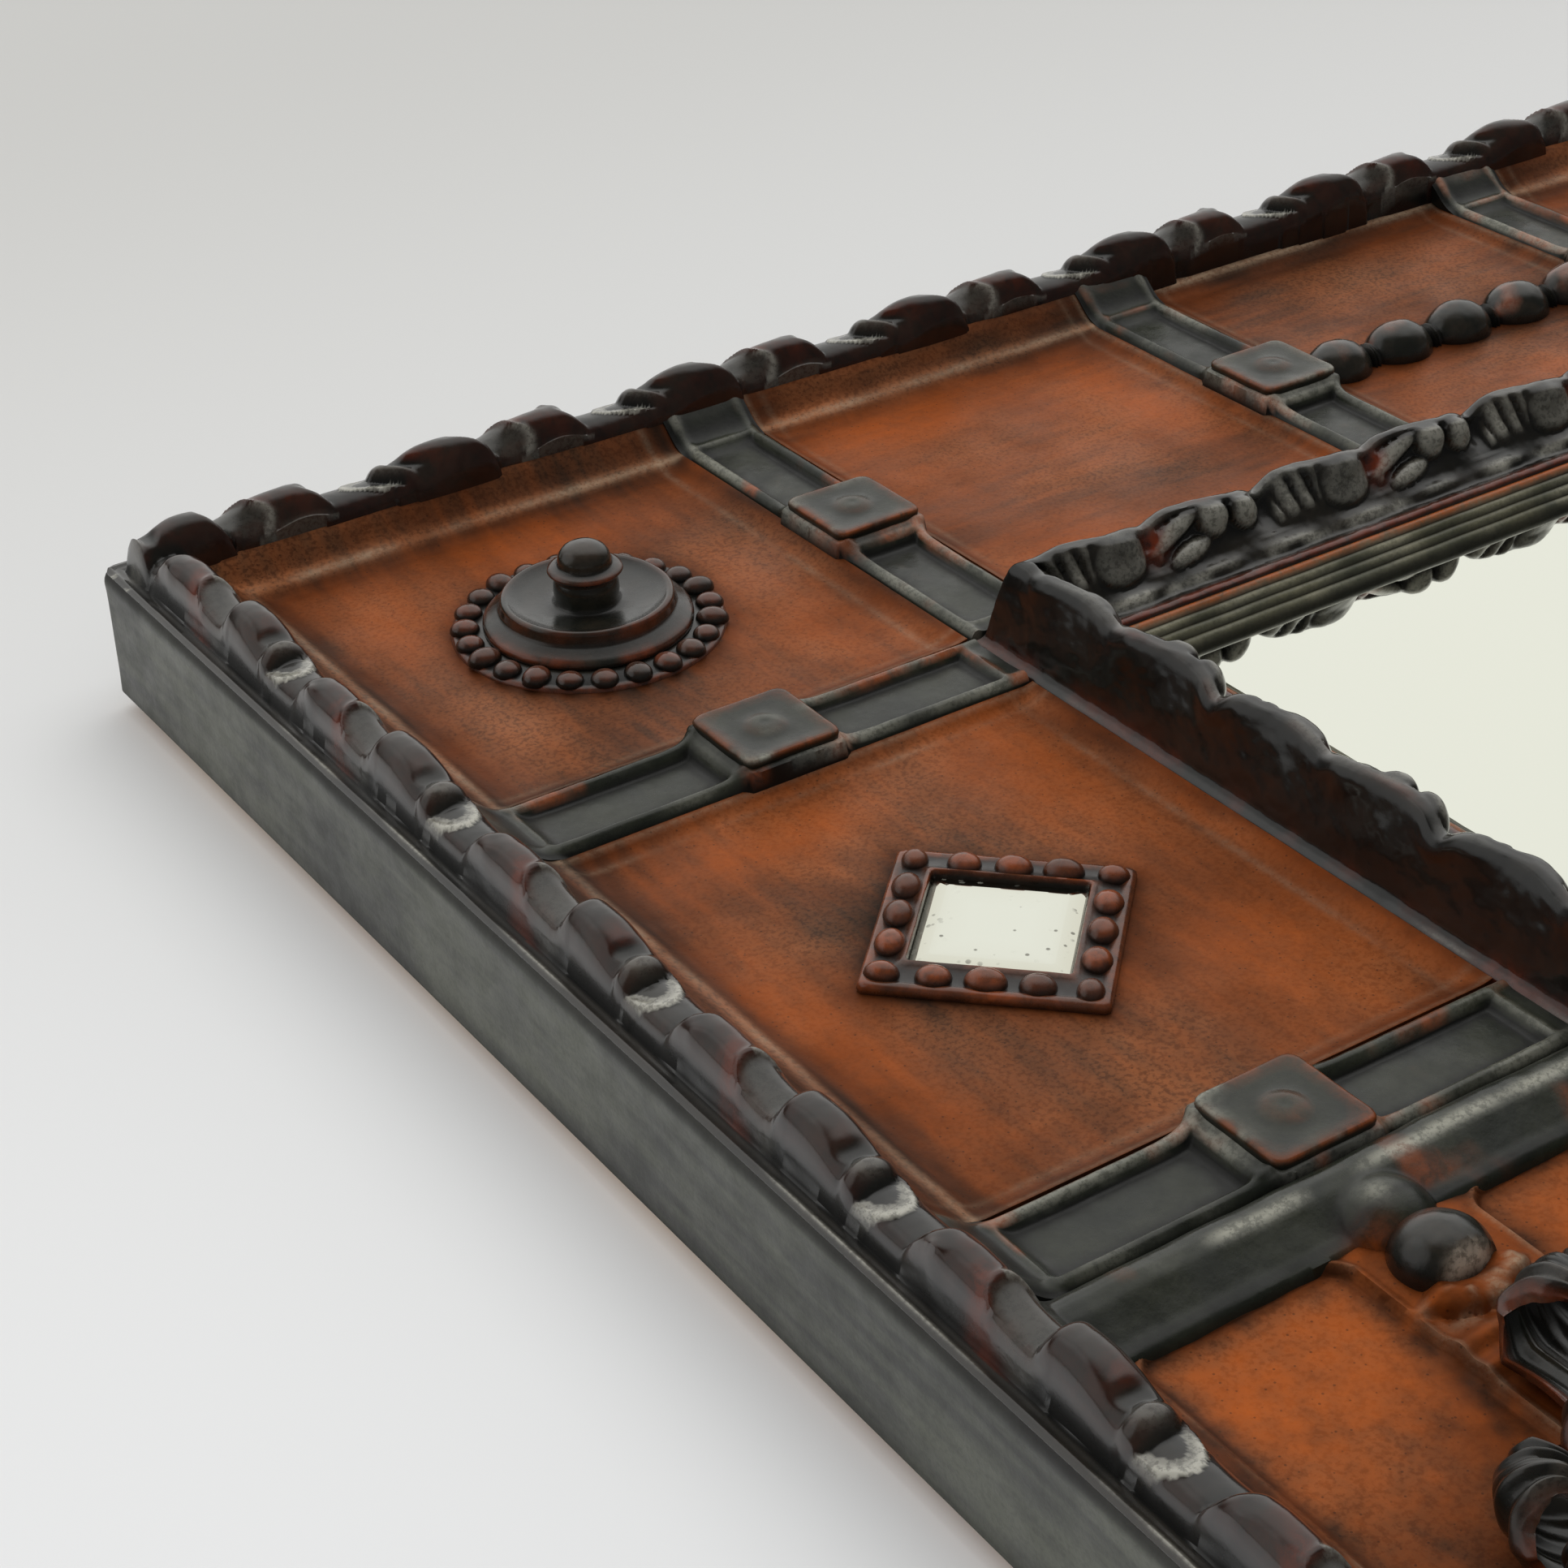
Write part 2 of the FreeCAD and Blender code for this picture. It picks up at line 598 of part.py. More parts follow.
def ornament_panel(side):
    """Centre panel of a long side: a round bar at each end, and a stem between two sunk fields."""
    label = "ornament_panel_" + side
    body = new_body(label)
    floor = "sizes.panel_floor"
    top = "(sizes.panel_floor + sizes.panel_rise)"
    length = CENTRE_TALL_LENGTH
    middle = "(sizes.panel_depth / 2)"
    sketch = new_sketch(body, "XY_Plane")
    add_outline(sketch, rectangle("0", "0", length, "sizes.panel_depth"))
    pad(body, sketch, top)
    near = "(%s - sizes.stem_width / 2)" % middle
    far = "(%s + sizes.stem_width / 2)" % middle
    ends = ("(sizes.bar_width - sizes.panel_rim)", "(%s - sizes.bar_width + sizes.panel_rim)" % length)
    for low, high in ((("0", near)), (far, "sizes.panel_depth")):
        field = tray(body, (ends[0], low), (ends[1], high), "sizes.panel_rim", "sizes.panel_cove",
                     "sizes.panel_rise", top)
        soften(body, field, floor)
    arch = "((%s / 2)^2 + sizes.stem_rise^2) / (2 * sizes.stem_rise)"
    for start in ("0", "(%s - sizes.bar_width)" % length):
        bar = new_sketch(body, "XZ_Plane")
        add_outline(bar, [(start, floor), (start + " + sizes.bar_width", floor)],
                    {1: arch % "sizes.bar_width"})
        pad(body, bar, "sizes.panel_depth").Reversed = True
    stem = new_sketch(body, "YZ_Plane", ("0", "0", "sizes.bar_width / 2"))
    add_outline(stem, [(near, floor), (far, floor)], {1: arch % "sizes.stem_width"})
    pad(body, stem, "%s - sizes.bar_width" % length)
    for along, radius, height in (
            ("sizes.bar_width", "sizes.stem_node_radius", "sizes.stem_node_height"),
            ("(sizes.bar_width + sizes.stem_bead_gap)", "sizes.stem_bead_radius",
             "sizes.stem_bead_height")):
        cap, sketch = dome(body, (along, floor, middle), radius, height)
        repeat_in_line(body, cap, sketch, "H_Axis", "%s - 2 * %s" % (length, along), "2")
    return keep(body, label, on_side(side, CENTRE_TALL, "sizes.border_width", BOARD))


def seat(label, body, panel_body, placement):
    """Cut a piece to the surface of the panel that it sits on."""
    body.Label = label + "_blank"
    body.Placement = placement
    cut = doc.addObject("Part::Cut", label)
    cut.Base = body
    cut.Tool = panel_body
    return keep(cut, label, FreeCAD.Placement())


def rosette(side, panel_body):
    """Leafy centre ornament: a low plate, a domed heart, leaves all round and a bud at each end."""
    label = "centre_ornament_" + side
    body = new_body(label + "_blank")
    plate = new_sketch(body, "XZ_Plane")
    heart = "sizes.rosette_heart_radius"
    face = "(sizes.stem_rise + sizes.rosette_thick)"
    crown = "(%s^2 + sizes.rosette_heart_height^2) / (2 * sizes.rosette_heart_height)" % heart
    add_outline(plate, [("0", "0"), ("sizes.rosette_radius", "0"), ("sizes.rosette_radius", face),
                        (heart, face), ("0", face + " + sizes.rosette_heart_height")], {3: crown})
    revolve(body, plate, "V_Axis")
    leaf = new_sketch(body, "XZ_Plane", ("0", face, "0"))
    start = "(%s - sizes.leaf_radius / 2)" % heart
    stop = "(%s + sizes.leaf_length)" % start
    add_outline(leaf, [(start, "0"), (stop, "0"), (stop, "sizes.leaf_radius * sizes.leaf_tip_share"),
                       (start, "sizes.leaf_radius * sizes.leaf_root_share")],
                {2: "sizes.leaf_length * sizes.leaf_bow_share"})
    repeat_round(body, revolve(body, leaf, "H_Axis"), "sizes.leaf_count")
    bud = new_sketch(body, "XZ_Plane", ("0", face, "0"))
    near = "(sizes.rosette_radius - sizes.bud_length / 2)"
    far = "(%s + sizes.bud_length)" % near
    add_outline(bud, [(near, "0"), (far, "0"), (far, "sizes.bud_radius * sizes.leaf_root_share"),
                      (near, "sizes.bud_radius * sizes.leaf_root_share")],
                {2: "sizes.bud_length * sizes.leaf_bow_share"})
    repeat_round(body, revolve(body, bud, "H_Axis"), "2")
    middle = "(%s / 2)" % SIDES[side][0]
    seat(label, body, panel_body, on_side(side, middle, BAND_MIDDLE, PANEL_FACE))


def bead_rod(side, panel_body):
    """Round-topped rod along the middle of the panel, strung with domed beads."""
    label = "bead_rod_" + side
    span = CENTRE_WIDE_LENGTH
    body = new_body(label + "_blank")
    rod = new_sketch(body, "YZ_Plane")
    round_top = "(sizes.rod_half_width^2 + sizes.rod_height^2) / (2 * sizes.rod_height)"
    add_outline(rod, [("-sizes.rod_half_width", "0"), ("sizes.rod_half_width", "0")], {1: round_top})
    pad(body, rod, span)
    pitch = "(%s / sizes.rod_bead_count)" % span
    run = "(%s * (sizes.rod_bead_count - 1))" % pitch
    radius = "(%s * sizes.rod_bead_share / 2)" % pitch
    bead, row = dome(body, ("%s / 2" % pitch, "0", "0"), radius, "sizes.rod_bead_height")
    repeat_in_line(body, bead, row, "H_Axis", run, "sizes.rod_bead_count")
    seat(label, body, panel_body, on_side(side, CENTRE_WIDE, BAND_MIDDLE, PANEL_FACE))


def strap_template():
    """Flat strap across the band with a sunk, rimmed channel on each side of its clasp."""
    body = new_body("strap")
    top = "sizes.strap_rise"
    wide = "sizes.strap_width"
    bevel = "sizes.strap_bevel"
    deep = "sizes.panel_depth"
    sketch = new_sketch(body, "XZ_Plane")
    add_outline(sketch, [
        ("0", "0"), (wide, "0"), (wide, "%s - %s" % (top, bevel)),
        ("%s - %s / 2" % (wide, bevel), top), ("%s / 2" % bevel, top),
        ("0", "%s - %s" % (top, bevel)),
    ])
    pad(body, sketch, deep).Reversed = True
    half = "((%s - sizes.clasp_length) / 2)" % deep
    for low, high in (("0", half), ("(%s - %s)" % (deep, half), deep)):
        tray(body, ("0", low), (wide, high), "sizes.strap_rim", bevel, "sizes.strap_channel", top)
    return body


def clasp_template():
    """Square clasp bridging the strap's channel from rim to rim, with a low button on top."""
    body = new_body("clasp")
    low = "sizes.strap_rise"
    top = "sizes.clasp_rise"
    wide = "sizes.strap_width"
    edge = "sizes.clasp_edge"
    deep = "sizes.clasp_length"
    base = new_sketch(body, "XY_Plane", ("0", "0", low))
    add_outline(base, rectangle("0", "0", wide, deep))
    pad(body, base, "%s - %s - %s" % (top, low, edge))
    lower = new_sketch(body, "XY_Plane", ("0", "0", "%s - %s" % (top, edge)))
    add_outline(lower, rectangle("0", "0", wide, deep))
    upper = new_sketch(body, "XY_Plane", ("0", "0", top))
    add_outline(upper, rectangle(edge, edge, "%s - %s" % (wide, edge), "%s - %s" % (deep, edge)))
    crown = body.newObject("PartDesign::AdditiveLoft", "clasp_crown")
    crown.Profile = lower
    crown.Sections = [upper]
    crown.Ruled = True
    button = new_sketch(body, "XY_Plane", ("0", "0", top))
    add_circle(button, "%s / 2" % wide, "%s / 2" % deep, "sizes.clasp_button_radius")
    pad(body, button, "sizes.clasp_button_rise")
    return body


def boss_ring_template():
    """Round washer with a row of half beads near its edge."""
    body = new_body("boss_ring")
    flat = new_sketch(body, "XY_Plane")
    add_circle(flat, "0", "0", "sizes.ring_radius")
    pad(body, flat, "sizes.ring_thick")
    radius = "sizes.ring_bead_radius"
    reach = "sizes.ring_radius - sizes.ring_bead_margin - %s" % radius
    bead, sketch = dome(body, (reach, "sizes.ring_thick", "0"), radius, radius)
    repeat_round(body, bead, "sizes.ring_bead_count")
    return body


def boss_knob_template():
    """Turned knob: stepped disc, dished rim, neck and a capped dome."""
    body = new_body("boss_knob")
    disc = "sizes.disc_thick"
    rim = "(sizes.disc_thick + sizes.rim_rise)"
    dish = "(%s - sizes.dish_drop)" % rim
    neck = "(%s + sizes.neck_height)" % dish
    lip = "(%s + sizes.cap_lip)" % neck
    dome = "(sizes.dome_radius^2 + sizes.dome_height^2) / (2 * sizes.dome_height)"
    flare = "(sizes.cap_radius - sizes.neck_radius)"
    sketch = new_sketch(body, "XZ_Plane")
    add_outline(sketch, [
        ("0", "0"), ("sizes.disc_radius", "0"), ("sizes.disc_radius", "%s / 2" % disc),
        ("sizes.rim_radius + %s" % flare, disc), ("sizes.rim_radius", disc),
        ("sizes.rim_radius", rim), ("sizes.neck_radius", dish), ("sizes.neck_radius", neck),
        ("sizes.cap_radius", lip), ("sizes.dome_radius", lip), ("0", "%s + sizes.dome_height" % lip),
    ], {9: dome})
    revolve(body, sketch, "V_Axis")
    return body


def bezel_template():
    """Square frame round a small mirror, with a bead at each corner and between."""
    body = new_body("bezel")
    half = "(sizes.bezel_side / 2)"
    seat = "(sizes.small_glass_side / 2 + sizes.small_glass_gap)"
    sketch = new_sketch(body, "XY_Plane")
    add_outline(sketch, rectangle("-" + half, "-" + half, half, half))
    add_outline(sketch, rectangle("-" + seat, "-" + seat, seat, seat))
    pad(body, sketch, "sizes.bezel_thick")
    reach = "((%s + %s) / 2)" % (half, seat)
    turned, bead = dome(body, ("-" + reach, "sizes.bezel_thick", "-" + reach),
                        "sizes.bezel_bead_radius", "sizes.bezel_bead_radius")
    beads = body.newObject("PartDesign::MultiTransform", "bezel_beads")
    beads.Originals = [turned]
    row = body.newObject("PartDesign::LinearPattern", "bezel_bead_row")
    row.Direction = (bead, ["H_Axis"])
    row.setExpression("Length", "2 * %s * (sizes.bezel_beads_on_side - 2) / (sizes.bezel_beads_on_side - 1)"
                      % reach)
    row.setExpression("Occurrences", "sizes.bezel_beads_on_side - 1")
    turn = body.newObject("PartDesign::PolarPattern", "bezel_bead_turn")
    turn.Axis = ([item for item in body.Origin.OriginFeatures if item.Role == "Z_Axis"][0], [""])
    turn.Angle = 360
    turn.Occurrences = 4
    beads.Transformations = [row, turn]
    body.Tip = beads
    return body


def small_glass_template():
    """Small mirror plate, straight at its edge and bevelled to a smaller face."""
    body = new_body("small_glass")
    half = "(sizes.small_glass_side / 2)"
    face = "(%s - sizes.small_glass_bevel)" % half
    edge = "(sizes.small_glass_thick / 2)"
    sketch = new_sketch(body, "XY_Plane")
    add_outline(sketch, rectangle("-" + half, "-" + half, half, half))
    pad(body, sketch, edge)
    lower = new_sketch(body, "XY_Plane", ("0", "0", edge))
    add_outline(lower, rectangle("-" + half, "-" + half, half, half))
    upper = new_sketch(body, "XY_Plane", ("0", "0", "sizes.small_glass_thick"))
    add_outline(upper, rectangle("-" + face, "-" + face, face, face))
    bevel = body.newObject("PartDesign::AdditiveLoft", "small_glass_bevel")
    bevel.Profile = lower
    bevel.Sections = [upper]
    bevel.Ruled = True
    return body


def mirror_plate(label, back, thick):
    """Flat plate filling the opening but for the gap all round, from the level back forwards."""
    box = doc.addObject("Part::Box", label)
    inset = "2 * (%s + sizes.glass_gap)" % BOARD_WIDTH
    box.setExpression("Length", "sizes.frame_width - " + inset)
    box.setExpression("Height", "sizes.frame_height - " + inset)
    box.setExpression("Width", thick)
    corner = vec("-(sizes.frame_width - %s) / 2" % inset, "-(%s) - (%s)" % (back, thick),
                 "-(sizes.frame_height - %s) / 2" % inset)
    keep(box, label, FreeCAD.Placement(corner, NO_TURN))


def brads():
    """Short wires driven into the boards' inner edges, lying on the back of the backing."""
    radius = num("sizes.brad_radius")
    level = num("%s - sizes.glass_thick - sizes.backing_thick - sizes.brad_radius" % GLASS_FRONT)
    count = int(num("sizes.brads_on_side"))
    solids = []
    for side, (length, u, v, angle) in SIDES.items():
        opening = num("%s - 2 * %s" % (length, BOARD_WIDTH))
        for index in range(count):
            along = num(BOARD_WIDTH) + opening * (index + 0.5) / count
            start = FreeCAD.Vector(along, num(BOARD_WIDTH + " - sizes.brad_bite"), level)
            wire = Part.makeCylinder(radius, num("sizes.brad_length"), start, Y_AXIS)
            solids.append(wire.transformed(on_side(side).toMatrix()))
    feature = doc.addObject("Part::Feature", "backing_brads")
    feature.Shape = Part.makeCompound(solids)
    keep(feature, "backing_brads", FreeCAD.Placement())


def hanger_spot(side):
    """Middle of a hanger's pin, on the rear face's plane."""
    sign = 1 if side == "right" else -1
    x = sign * num("sizes.frame_width / 2 - sizes.hanger_inset")
    z = num("sizes.frame_height / 2 - sizes.hanger_drop")
    return FreeCAD.Placement(FreeCAD.Vector(x, 0, z), NO_TURN)


def hanger_plate(side):
    """Strap plate with two screw holes, folded round the ring's straight bar at its top."""
    label = "hanger_plate_" + side
    body = new_body(label)
    half = "sizes.plate_width / 2"
    strip = new_sketch(body, "YZ_Plane", ("0", "0", "-" + half))
    add_outline(strip, [("0", "0"), ("0", "-sizes.plate_length"),
                        ("sizes.plate_thick", "-sizes.plate_length"), ("sizes.plate_thick", "0")])
    pad(body, strip, "sizes.plate_width")
    fold = new_sketch(body, "YZ_Plane", ("0", "0", "-" + half))
    add_circle(fold, PIN_HEIGHT, "0", BARREL_RADIUS)
    pad(body, fold, "sizes.plate_width")
    bore = new_sketch(body, "YZ_Plane", ("0", "0", "-" + half))
    add_circle(bore, PIN_HEIGHT, "0", "sizes.ring_wire_radius + sizes.ring_fit")
    pocket(body, bore)
    holes = new_sketch(body, "XZ_Plane")
    for drop in ("sizes.first_screw_drop", "sizes.second_screw_drop"):
        add_circle(holes, "0", "-" + drop, "sizes.screw_radius + sizes.screw_fit")
    pocket(body, holes, "sizes.plate_thick + sizes.cut_overrun", False)
    keep(body, label, hanger_spot(side))


def ring_template():
    """D-shaped wire ring hanging from its straight bar, butted in the middle of the bar."""
    gap = num("sizes.ring_butt_gap / 2")
    half = num("sizes.ring_half_width")
    bend = num("sizes.ring_corner_radius")
    leg = num("sizes.ring_leg")
    height = num(PIN_HEIGHT)
    root = math.sqrt(2) / 2

    def at(x, z):
        return FreeCAD.Vector(x, height, z)

    turn = bend * (1 - root)
    points = [at(gap, 0), at(half - bend, 0), at(half - turn, -turn), at(half, -bend),
              at(half, -bend - leg), at(0, -bend - leg - half), at(-half, -bend - leg),
              at(-half, -bend), at(-half + turn, -turn), at(-half + bend, 0), at(-gap, 0)]
    path = Part.Wire([
        Part.LineSegment(points[0], points[1]).toShape(),
        Part.Arc(points[1], points[2], points[3]).toShape(),
        Part.LineSegment(points[3], points[4]).toShape(),
        Part.Arc(points[4], points[5], points[6]).toShape(),
        Part.LineSegment(points[6], points[7]).toShape(),
        Part.Arc(points[7], points[8], points[9]).toShape(),
        Part.LineSegment(points[9], points[10]).toShape(),
    ])
    section = Part.Wire([Part.Circle(points[0], X_AXIS, num("sizes.ring_wire_radius")).toShape()])
    return path.makePipeShell([section], True, False)


def hanger_ring(side):
    label = "hanger_ring_" + side
    feature = doc.addObject("Part::Feature", label)
    feature.Shape = ring_template()
    keep(feature, label, hanger_spot(side))


def screw_template():
    """Round-head screw pointing into the board, with its head on the plate."""
    body = new_body("screw")
    radius = "sizes.screw_radius"
    head = "sizes.screw_head_radius"
    seat = "sizes.plate_thick"
    tip = "-(sizes.screw_length - sizes.plate_thick)"
    crown = "(%s^2 + sizes.screw_head_height^2) / (2 * sizes.screw_head_height)" % head
    sketch = new_sketch(body, "XZ_Plane")
    add_outline(sketch, [("0", tip), (radius, "%s + %s" % (tip, radius)),
                         (radius, seat), (head, seat), ("0", seat + " + sizes.screw_head_height")],
                {3: crown})
    revolve(body, sketch, "V_Axis")
    return body


def screw_spots():
    """Every hanger screw, turned so that its head faces away from the board."""
    out = FreeCAD.Rotation(X_AXIS, -90)
    spots = []
    for side in TALL:
        for drop in ("sizes.first_screw_drop", "sizes.second_screw_drop"):
            spot = FreeCAD.Placement(FreeCAD.Vector(0, 0, -num(drop)), out)
            spots.append(hanger_spot(side) * spot)
    return spots


def strap_starts(side):
    """Where each strap of a side begins, from the side's first corner."""
    length = SIDES[side][0]
    inner = MIRROR_STRAP if side in TALL else PLAIN_STRAP
    near = [FIRST_STRAP, inner]
    return near + ["%s - %s - sizes.strap_width" % (length, start) for start in near]


for side in SIDES:
    board(side)
    side_skin(side)
    border(side)
    leaf_moulding(side)
    sight_moulding(side)

corner_spot = ("sizes.border_width", "sizes.border_width")
for side, corner in (("bottom", "bottom_left"), ("right", "bottom_right"),
                     ("top", "top_right"), ("left", "top_left")):
    panel("corner_panel_" + corner, "sizes.panel_depth", "sizes.panel_rise", "sizes.panel_cove",
          on_side(side, corner_spot[0], corner_spot[1], BOARD))

for side in SIDES:
    tall = side in TALL
    kind, length, start = (("mirror_panel", MIRROR_LENGTH, MIRROR_PANEL) if tall
                           else ("plain_panel", PLAIN_LENGTH, PLAIN_PANEL))
    ends = {"left": ("upper", "lower"), "right": ("lower", "upper"),
            "bottom": ("left", "right"), "top": ("right", "left")}[side]
    last = "%s - %s - %s" % (SIDES[side][0], start, length)
    for end, along in zip(ends, (start, last)):
        panel("%s_%s_%s" % (kind, side, end), length, "sizes.panel_rise", "sizes.panel_cove",
              on_side(side, along, "sizes.border_width", BOARD))
    if tall:
        rosette(side, ornament_panel(side))
    else:
        under_rod = panel("bead_panel_" + side, CENTRE_WIDE_LENGTH, "sizes.bead_panel_rise",
                          "sizes.bead_panel_cove",
                          on_side(side, CENTRE_WIDE, "sizes.border_width", BOARD))
        bead_rod(side, under_rod)

strap = strap_template()
clasp = clasp_template()
clasp_spots = []
for side in SIDES:
    starts = strap_starts(side)
    group("straps_" + side, strap,
          [on_side(side, start, "sizes.border_width", BOARD) for start in starts])
    across = "%s - sizes.clasp_length / 2" % BAND_MIDDLE
    clasp_spots += [on_side(side, start, across, BOARD) for start in starts]
group("strap_clasps", clasp, clasp_spots)

corner_middle = [on_side(side, BAND_MIDDLE, BAND_MIDDLE, PANEL_FACE) for side in SIDES]
knob_middle = [on_side(side, BAND_MIDDLE, BAND_MIDDLE, PANEL_FACE + " + sizes.ring_thick")
               for side in SIDES]
group("corner_boss_rings", boss_ring_template(), corner_middle)
group("corner_boss_knobs", boss_knob_template(), knob_middle)

cornerwise = []
for side in TALL:
    middle = "%s + %s / 2" % (MIRROR_PANEL, MIRROR_LENGTH)
    for along in (middle, "%s - (%s)" % (SIDES[side][0], middle)):
        cornerwise.append(on_side(side, along, BAND_MIDDLE, PANEL_FACE, 45))
group("small_mirror_bezels", bezel_template(), cornerwise)
group("small_mirror_plates", small_glass_template(), cornerwise)

mirror_plate("mirror_glass", "%s - sizes.glass_thick" % GLASS_FRONT, "sizes.glass_thick")
mirror_plate("backing_board", "%s - sizes.glass_thick - sizes.backing_thick" % GLASS_FRONT,
             "sizes.backing_thick")
brads()
for side in TALL:
    hanger_plate(side)
    hanger_ring(side)
group("hanger_screws", screw_template(), screw_spots())

doc.recompute()

for item in doc.Objects:
    if "Invalid" in item.State or "Error" in item.State:
        raise RuntimeError("%s did not build" % item.Label)
for item in parts:
    if item.Shape.isNull() or not item.Shape.isValid():
        raise RuntimeError("%s has no valid shape" % item.Label)

os.makedirs("parts", exist_ok=True)
for item in parts:
    item.Shape.exportStep("parts/%s.step" % item.Label)
    print(item.Label, len(item.Shape.Solids), round(item.Shape.Volume))
print(len(parts), "nodes")
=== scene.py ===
import math

import bpy
import numpy as np
from mathutils import Matrix, Vector


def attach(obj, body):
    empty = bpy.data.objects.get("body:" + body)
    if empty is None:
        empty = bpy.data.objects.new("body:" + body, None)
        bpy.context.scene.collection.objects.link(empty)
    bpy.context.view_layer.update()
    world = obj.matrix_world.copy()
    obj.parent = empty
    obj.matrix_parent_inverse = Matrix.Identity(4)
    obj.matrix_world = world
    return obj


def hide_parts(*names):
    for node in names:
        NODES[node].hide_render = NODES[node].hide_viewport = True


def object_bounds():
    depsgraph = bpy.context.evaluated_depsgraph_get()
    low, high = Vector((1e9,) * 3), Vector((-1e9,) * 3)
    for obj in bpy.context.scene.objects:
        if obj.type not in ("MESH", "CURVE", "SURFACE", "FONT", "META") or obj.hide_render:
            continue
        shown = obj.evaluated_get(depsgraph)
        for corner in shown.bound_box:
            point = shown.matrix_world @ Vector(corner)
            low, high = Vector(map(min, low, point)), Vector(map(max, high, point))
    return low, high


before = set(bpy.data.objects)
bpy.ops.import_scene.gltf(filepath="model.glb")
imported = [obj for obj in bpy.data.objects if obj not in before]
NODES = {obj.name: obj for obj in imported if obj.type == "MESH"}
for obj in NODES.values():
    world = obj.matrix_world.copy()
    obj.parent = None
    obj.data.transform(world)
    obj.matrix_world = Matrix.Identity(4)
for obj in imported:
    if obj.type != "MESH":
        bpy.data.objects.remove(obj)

CAD_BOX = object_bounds()

# All lengths below are in millimetres. A side is described by s along it (counter-clockwise as
# seen from the front), d across it from the outer edge, and n out of the wall plane.
MM = 1000.0
WIDTH, HEIGHT = 730.0, 924.0
HALF_WIDTH, HALF_HEIGHT = WIDTH / 2, HEIGHT / 2
LENGTHS = {"bottom": WIDTH, "right": HEIGHT, "top": WIDTH, "left": HEIGHT}
SIDES = ("bottom", "right", "top", "left")
TALL = ("right", "left")
# Level of the boards' face, and of the sheet that lies on it.
BOARD = 24.5
SHEET = BOARD + 1.0
PANEL_START, PANEL_END = 23.0, 150.0
LEAF_END, HIGHEST = 175.0, 49.5
BAND_MIDDLE = 86.5
STRAP = 24.5
# Where the first two straps of a side start; the other two mirror them.
TALL_STRAPS = (150.0, 318.1)
WIDE_STRAPS = (150.0, 285.4)
CORNER_ROUND = 5.0
# The part of the frame that is modelled most finely, along each side.
FINE = {"bottom": (280.0, 730.0), "right": (0.0, 440.0), "top": None, "left": None}


# Camera.
FOCAL_PIXELS, PICTURE_PIXELS, SENSOR = 3872.766, 1932.0, 36.0
CAMERA_TURN = (1.93495904, 1.01099083, -0.608592218)
CAMERA_SHIFT = (-164.876946, -24.5924485, 775.305768)


def add_camera():
    """Camera whose axes come from a turn vector and a shift, in the lying mirror's own millimetres."""
    data = bpy.data.cameras.new("camera")
    cam = bpy.data.objects.new("camera", data)
    bpy.context.scene.collection.objects.link(cam)
    data.sensor_fit = "HORIZONTAL"
    data.sensor_width = SENSOR
    data.lens = FOCAL_PIXELS / PICTURE_PIXELS * SENSOR
    data.clip_start, data.clip_end = 0.01, 50.0
    axis = np.array(CAMERA_TURN)
    angle = np.linalg.norm(axis)
    turn = np.array(Matrix.Rotation(angle, 3, Vector(axis / angle)))
    centre = -turn.T @ np.array(CAMERA_SHIFT)
    rows = [np.array([-r[1], -r[2], r[0]]) for r in turn]
    world = Matrix((rows[0], -rows[1], -rows[2])).transposed().to_4x4()
    world.translation = Vector((HALF_WIDTH - centre[1], -centre[2], centre[0] - HALF_HEIGHT)) / MM
    cam.matrix_world = world
    bpy.context.scene.camera = cam


add_camera()


# Numbers and noise.
def smooth(low, high, x):
    t = np.clip((x - low) / (high - low), 0.0, 1.0)
    return t * t * (3.0 - 2.0 * t)


def bell(x, centre, width):
    return np.exp(-(((x - centre) / width) ** 2))


def smax(a, b, k):
    """Larger of two heights, with a rounded join about k wide."""
    h = np.clip(0.5 + 0.5 * (a - b) / k, 0.0, 1.0)
    return b * (1 - h) + a * h + k * h * (1 - h)


def lattice(i, j, seed):
    h = (i * 374761393 + j * 668265263 + seed * 982451653) & 0xFFFFFFFF
    h = ((h ^ (h >> 13)) * 1274126177) & 0xFFFFFFFF
    return ((h ^ (h >> 16)) & 0xFFFF) / 65535.0


def noise(x, y, size, seed, octaves=3):
    """Smooth noise from -1 to 1 with features about size wide."""
    total, weight, reach = 0.0, 1.0, 0.0
    for octave in range(octaves):
        u, v = x / size * 2 ** octave, y / size * 2 ** octave
        i, j = np.floor(u).astype(np.int64), np.floor(v).astype(np.int64)
        fu, fv = u - i, v - j
        fu, fv = fu * fu * (3 - 2 * fu), fv * fv * (3 - 2 * fv)
        k = seed + 17 * octave
        low = lattice(i, j, k) * (1 - fu) + lattice(i + 1, j, k) * fu
        high = lattice(i, j + 1, k) * (1 - fu) + lattice(i + 1, j + 1, k) * fu
        total = total + weight * ((low * (1 - fv) + high * fv) * 2 - 1)
        reach += weight
        weight *= 0.5
    return total / reach


def blur(h, cells):
    """Three box blurs of an array in both directions."""
    for axis in (0, 1):
        for _ in range(3):
            pad = [(0, 0), (0, 0)]
            pad[axis] = (cells + 1, cells)
            c = np.cumsum(np.pad(h, pad, mode="edge"), axis=axis)
            n = h.shape[axis]
            high = np.take(c, np.arange(2 * cells + 1, 2 * cells + 1 + n), axis=axis)
            low = np.take(c, np.arange(0, n), axis=axis)
            h = (high - low) / (2 * cells + 1)
    return h


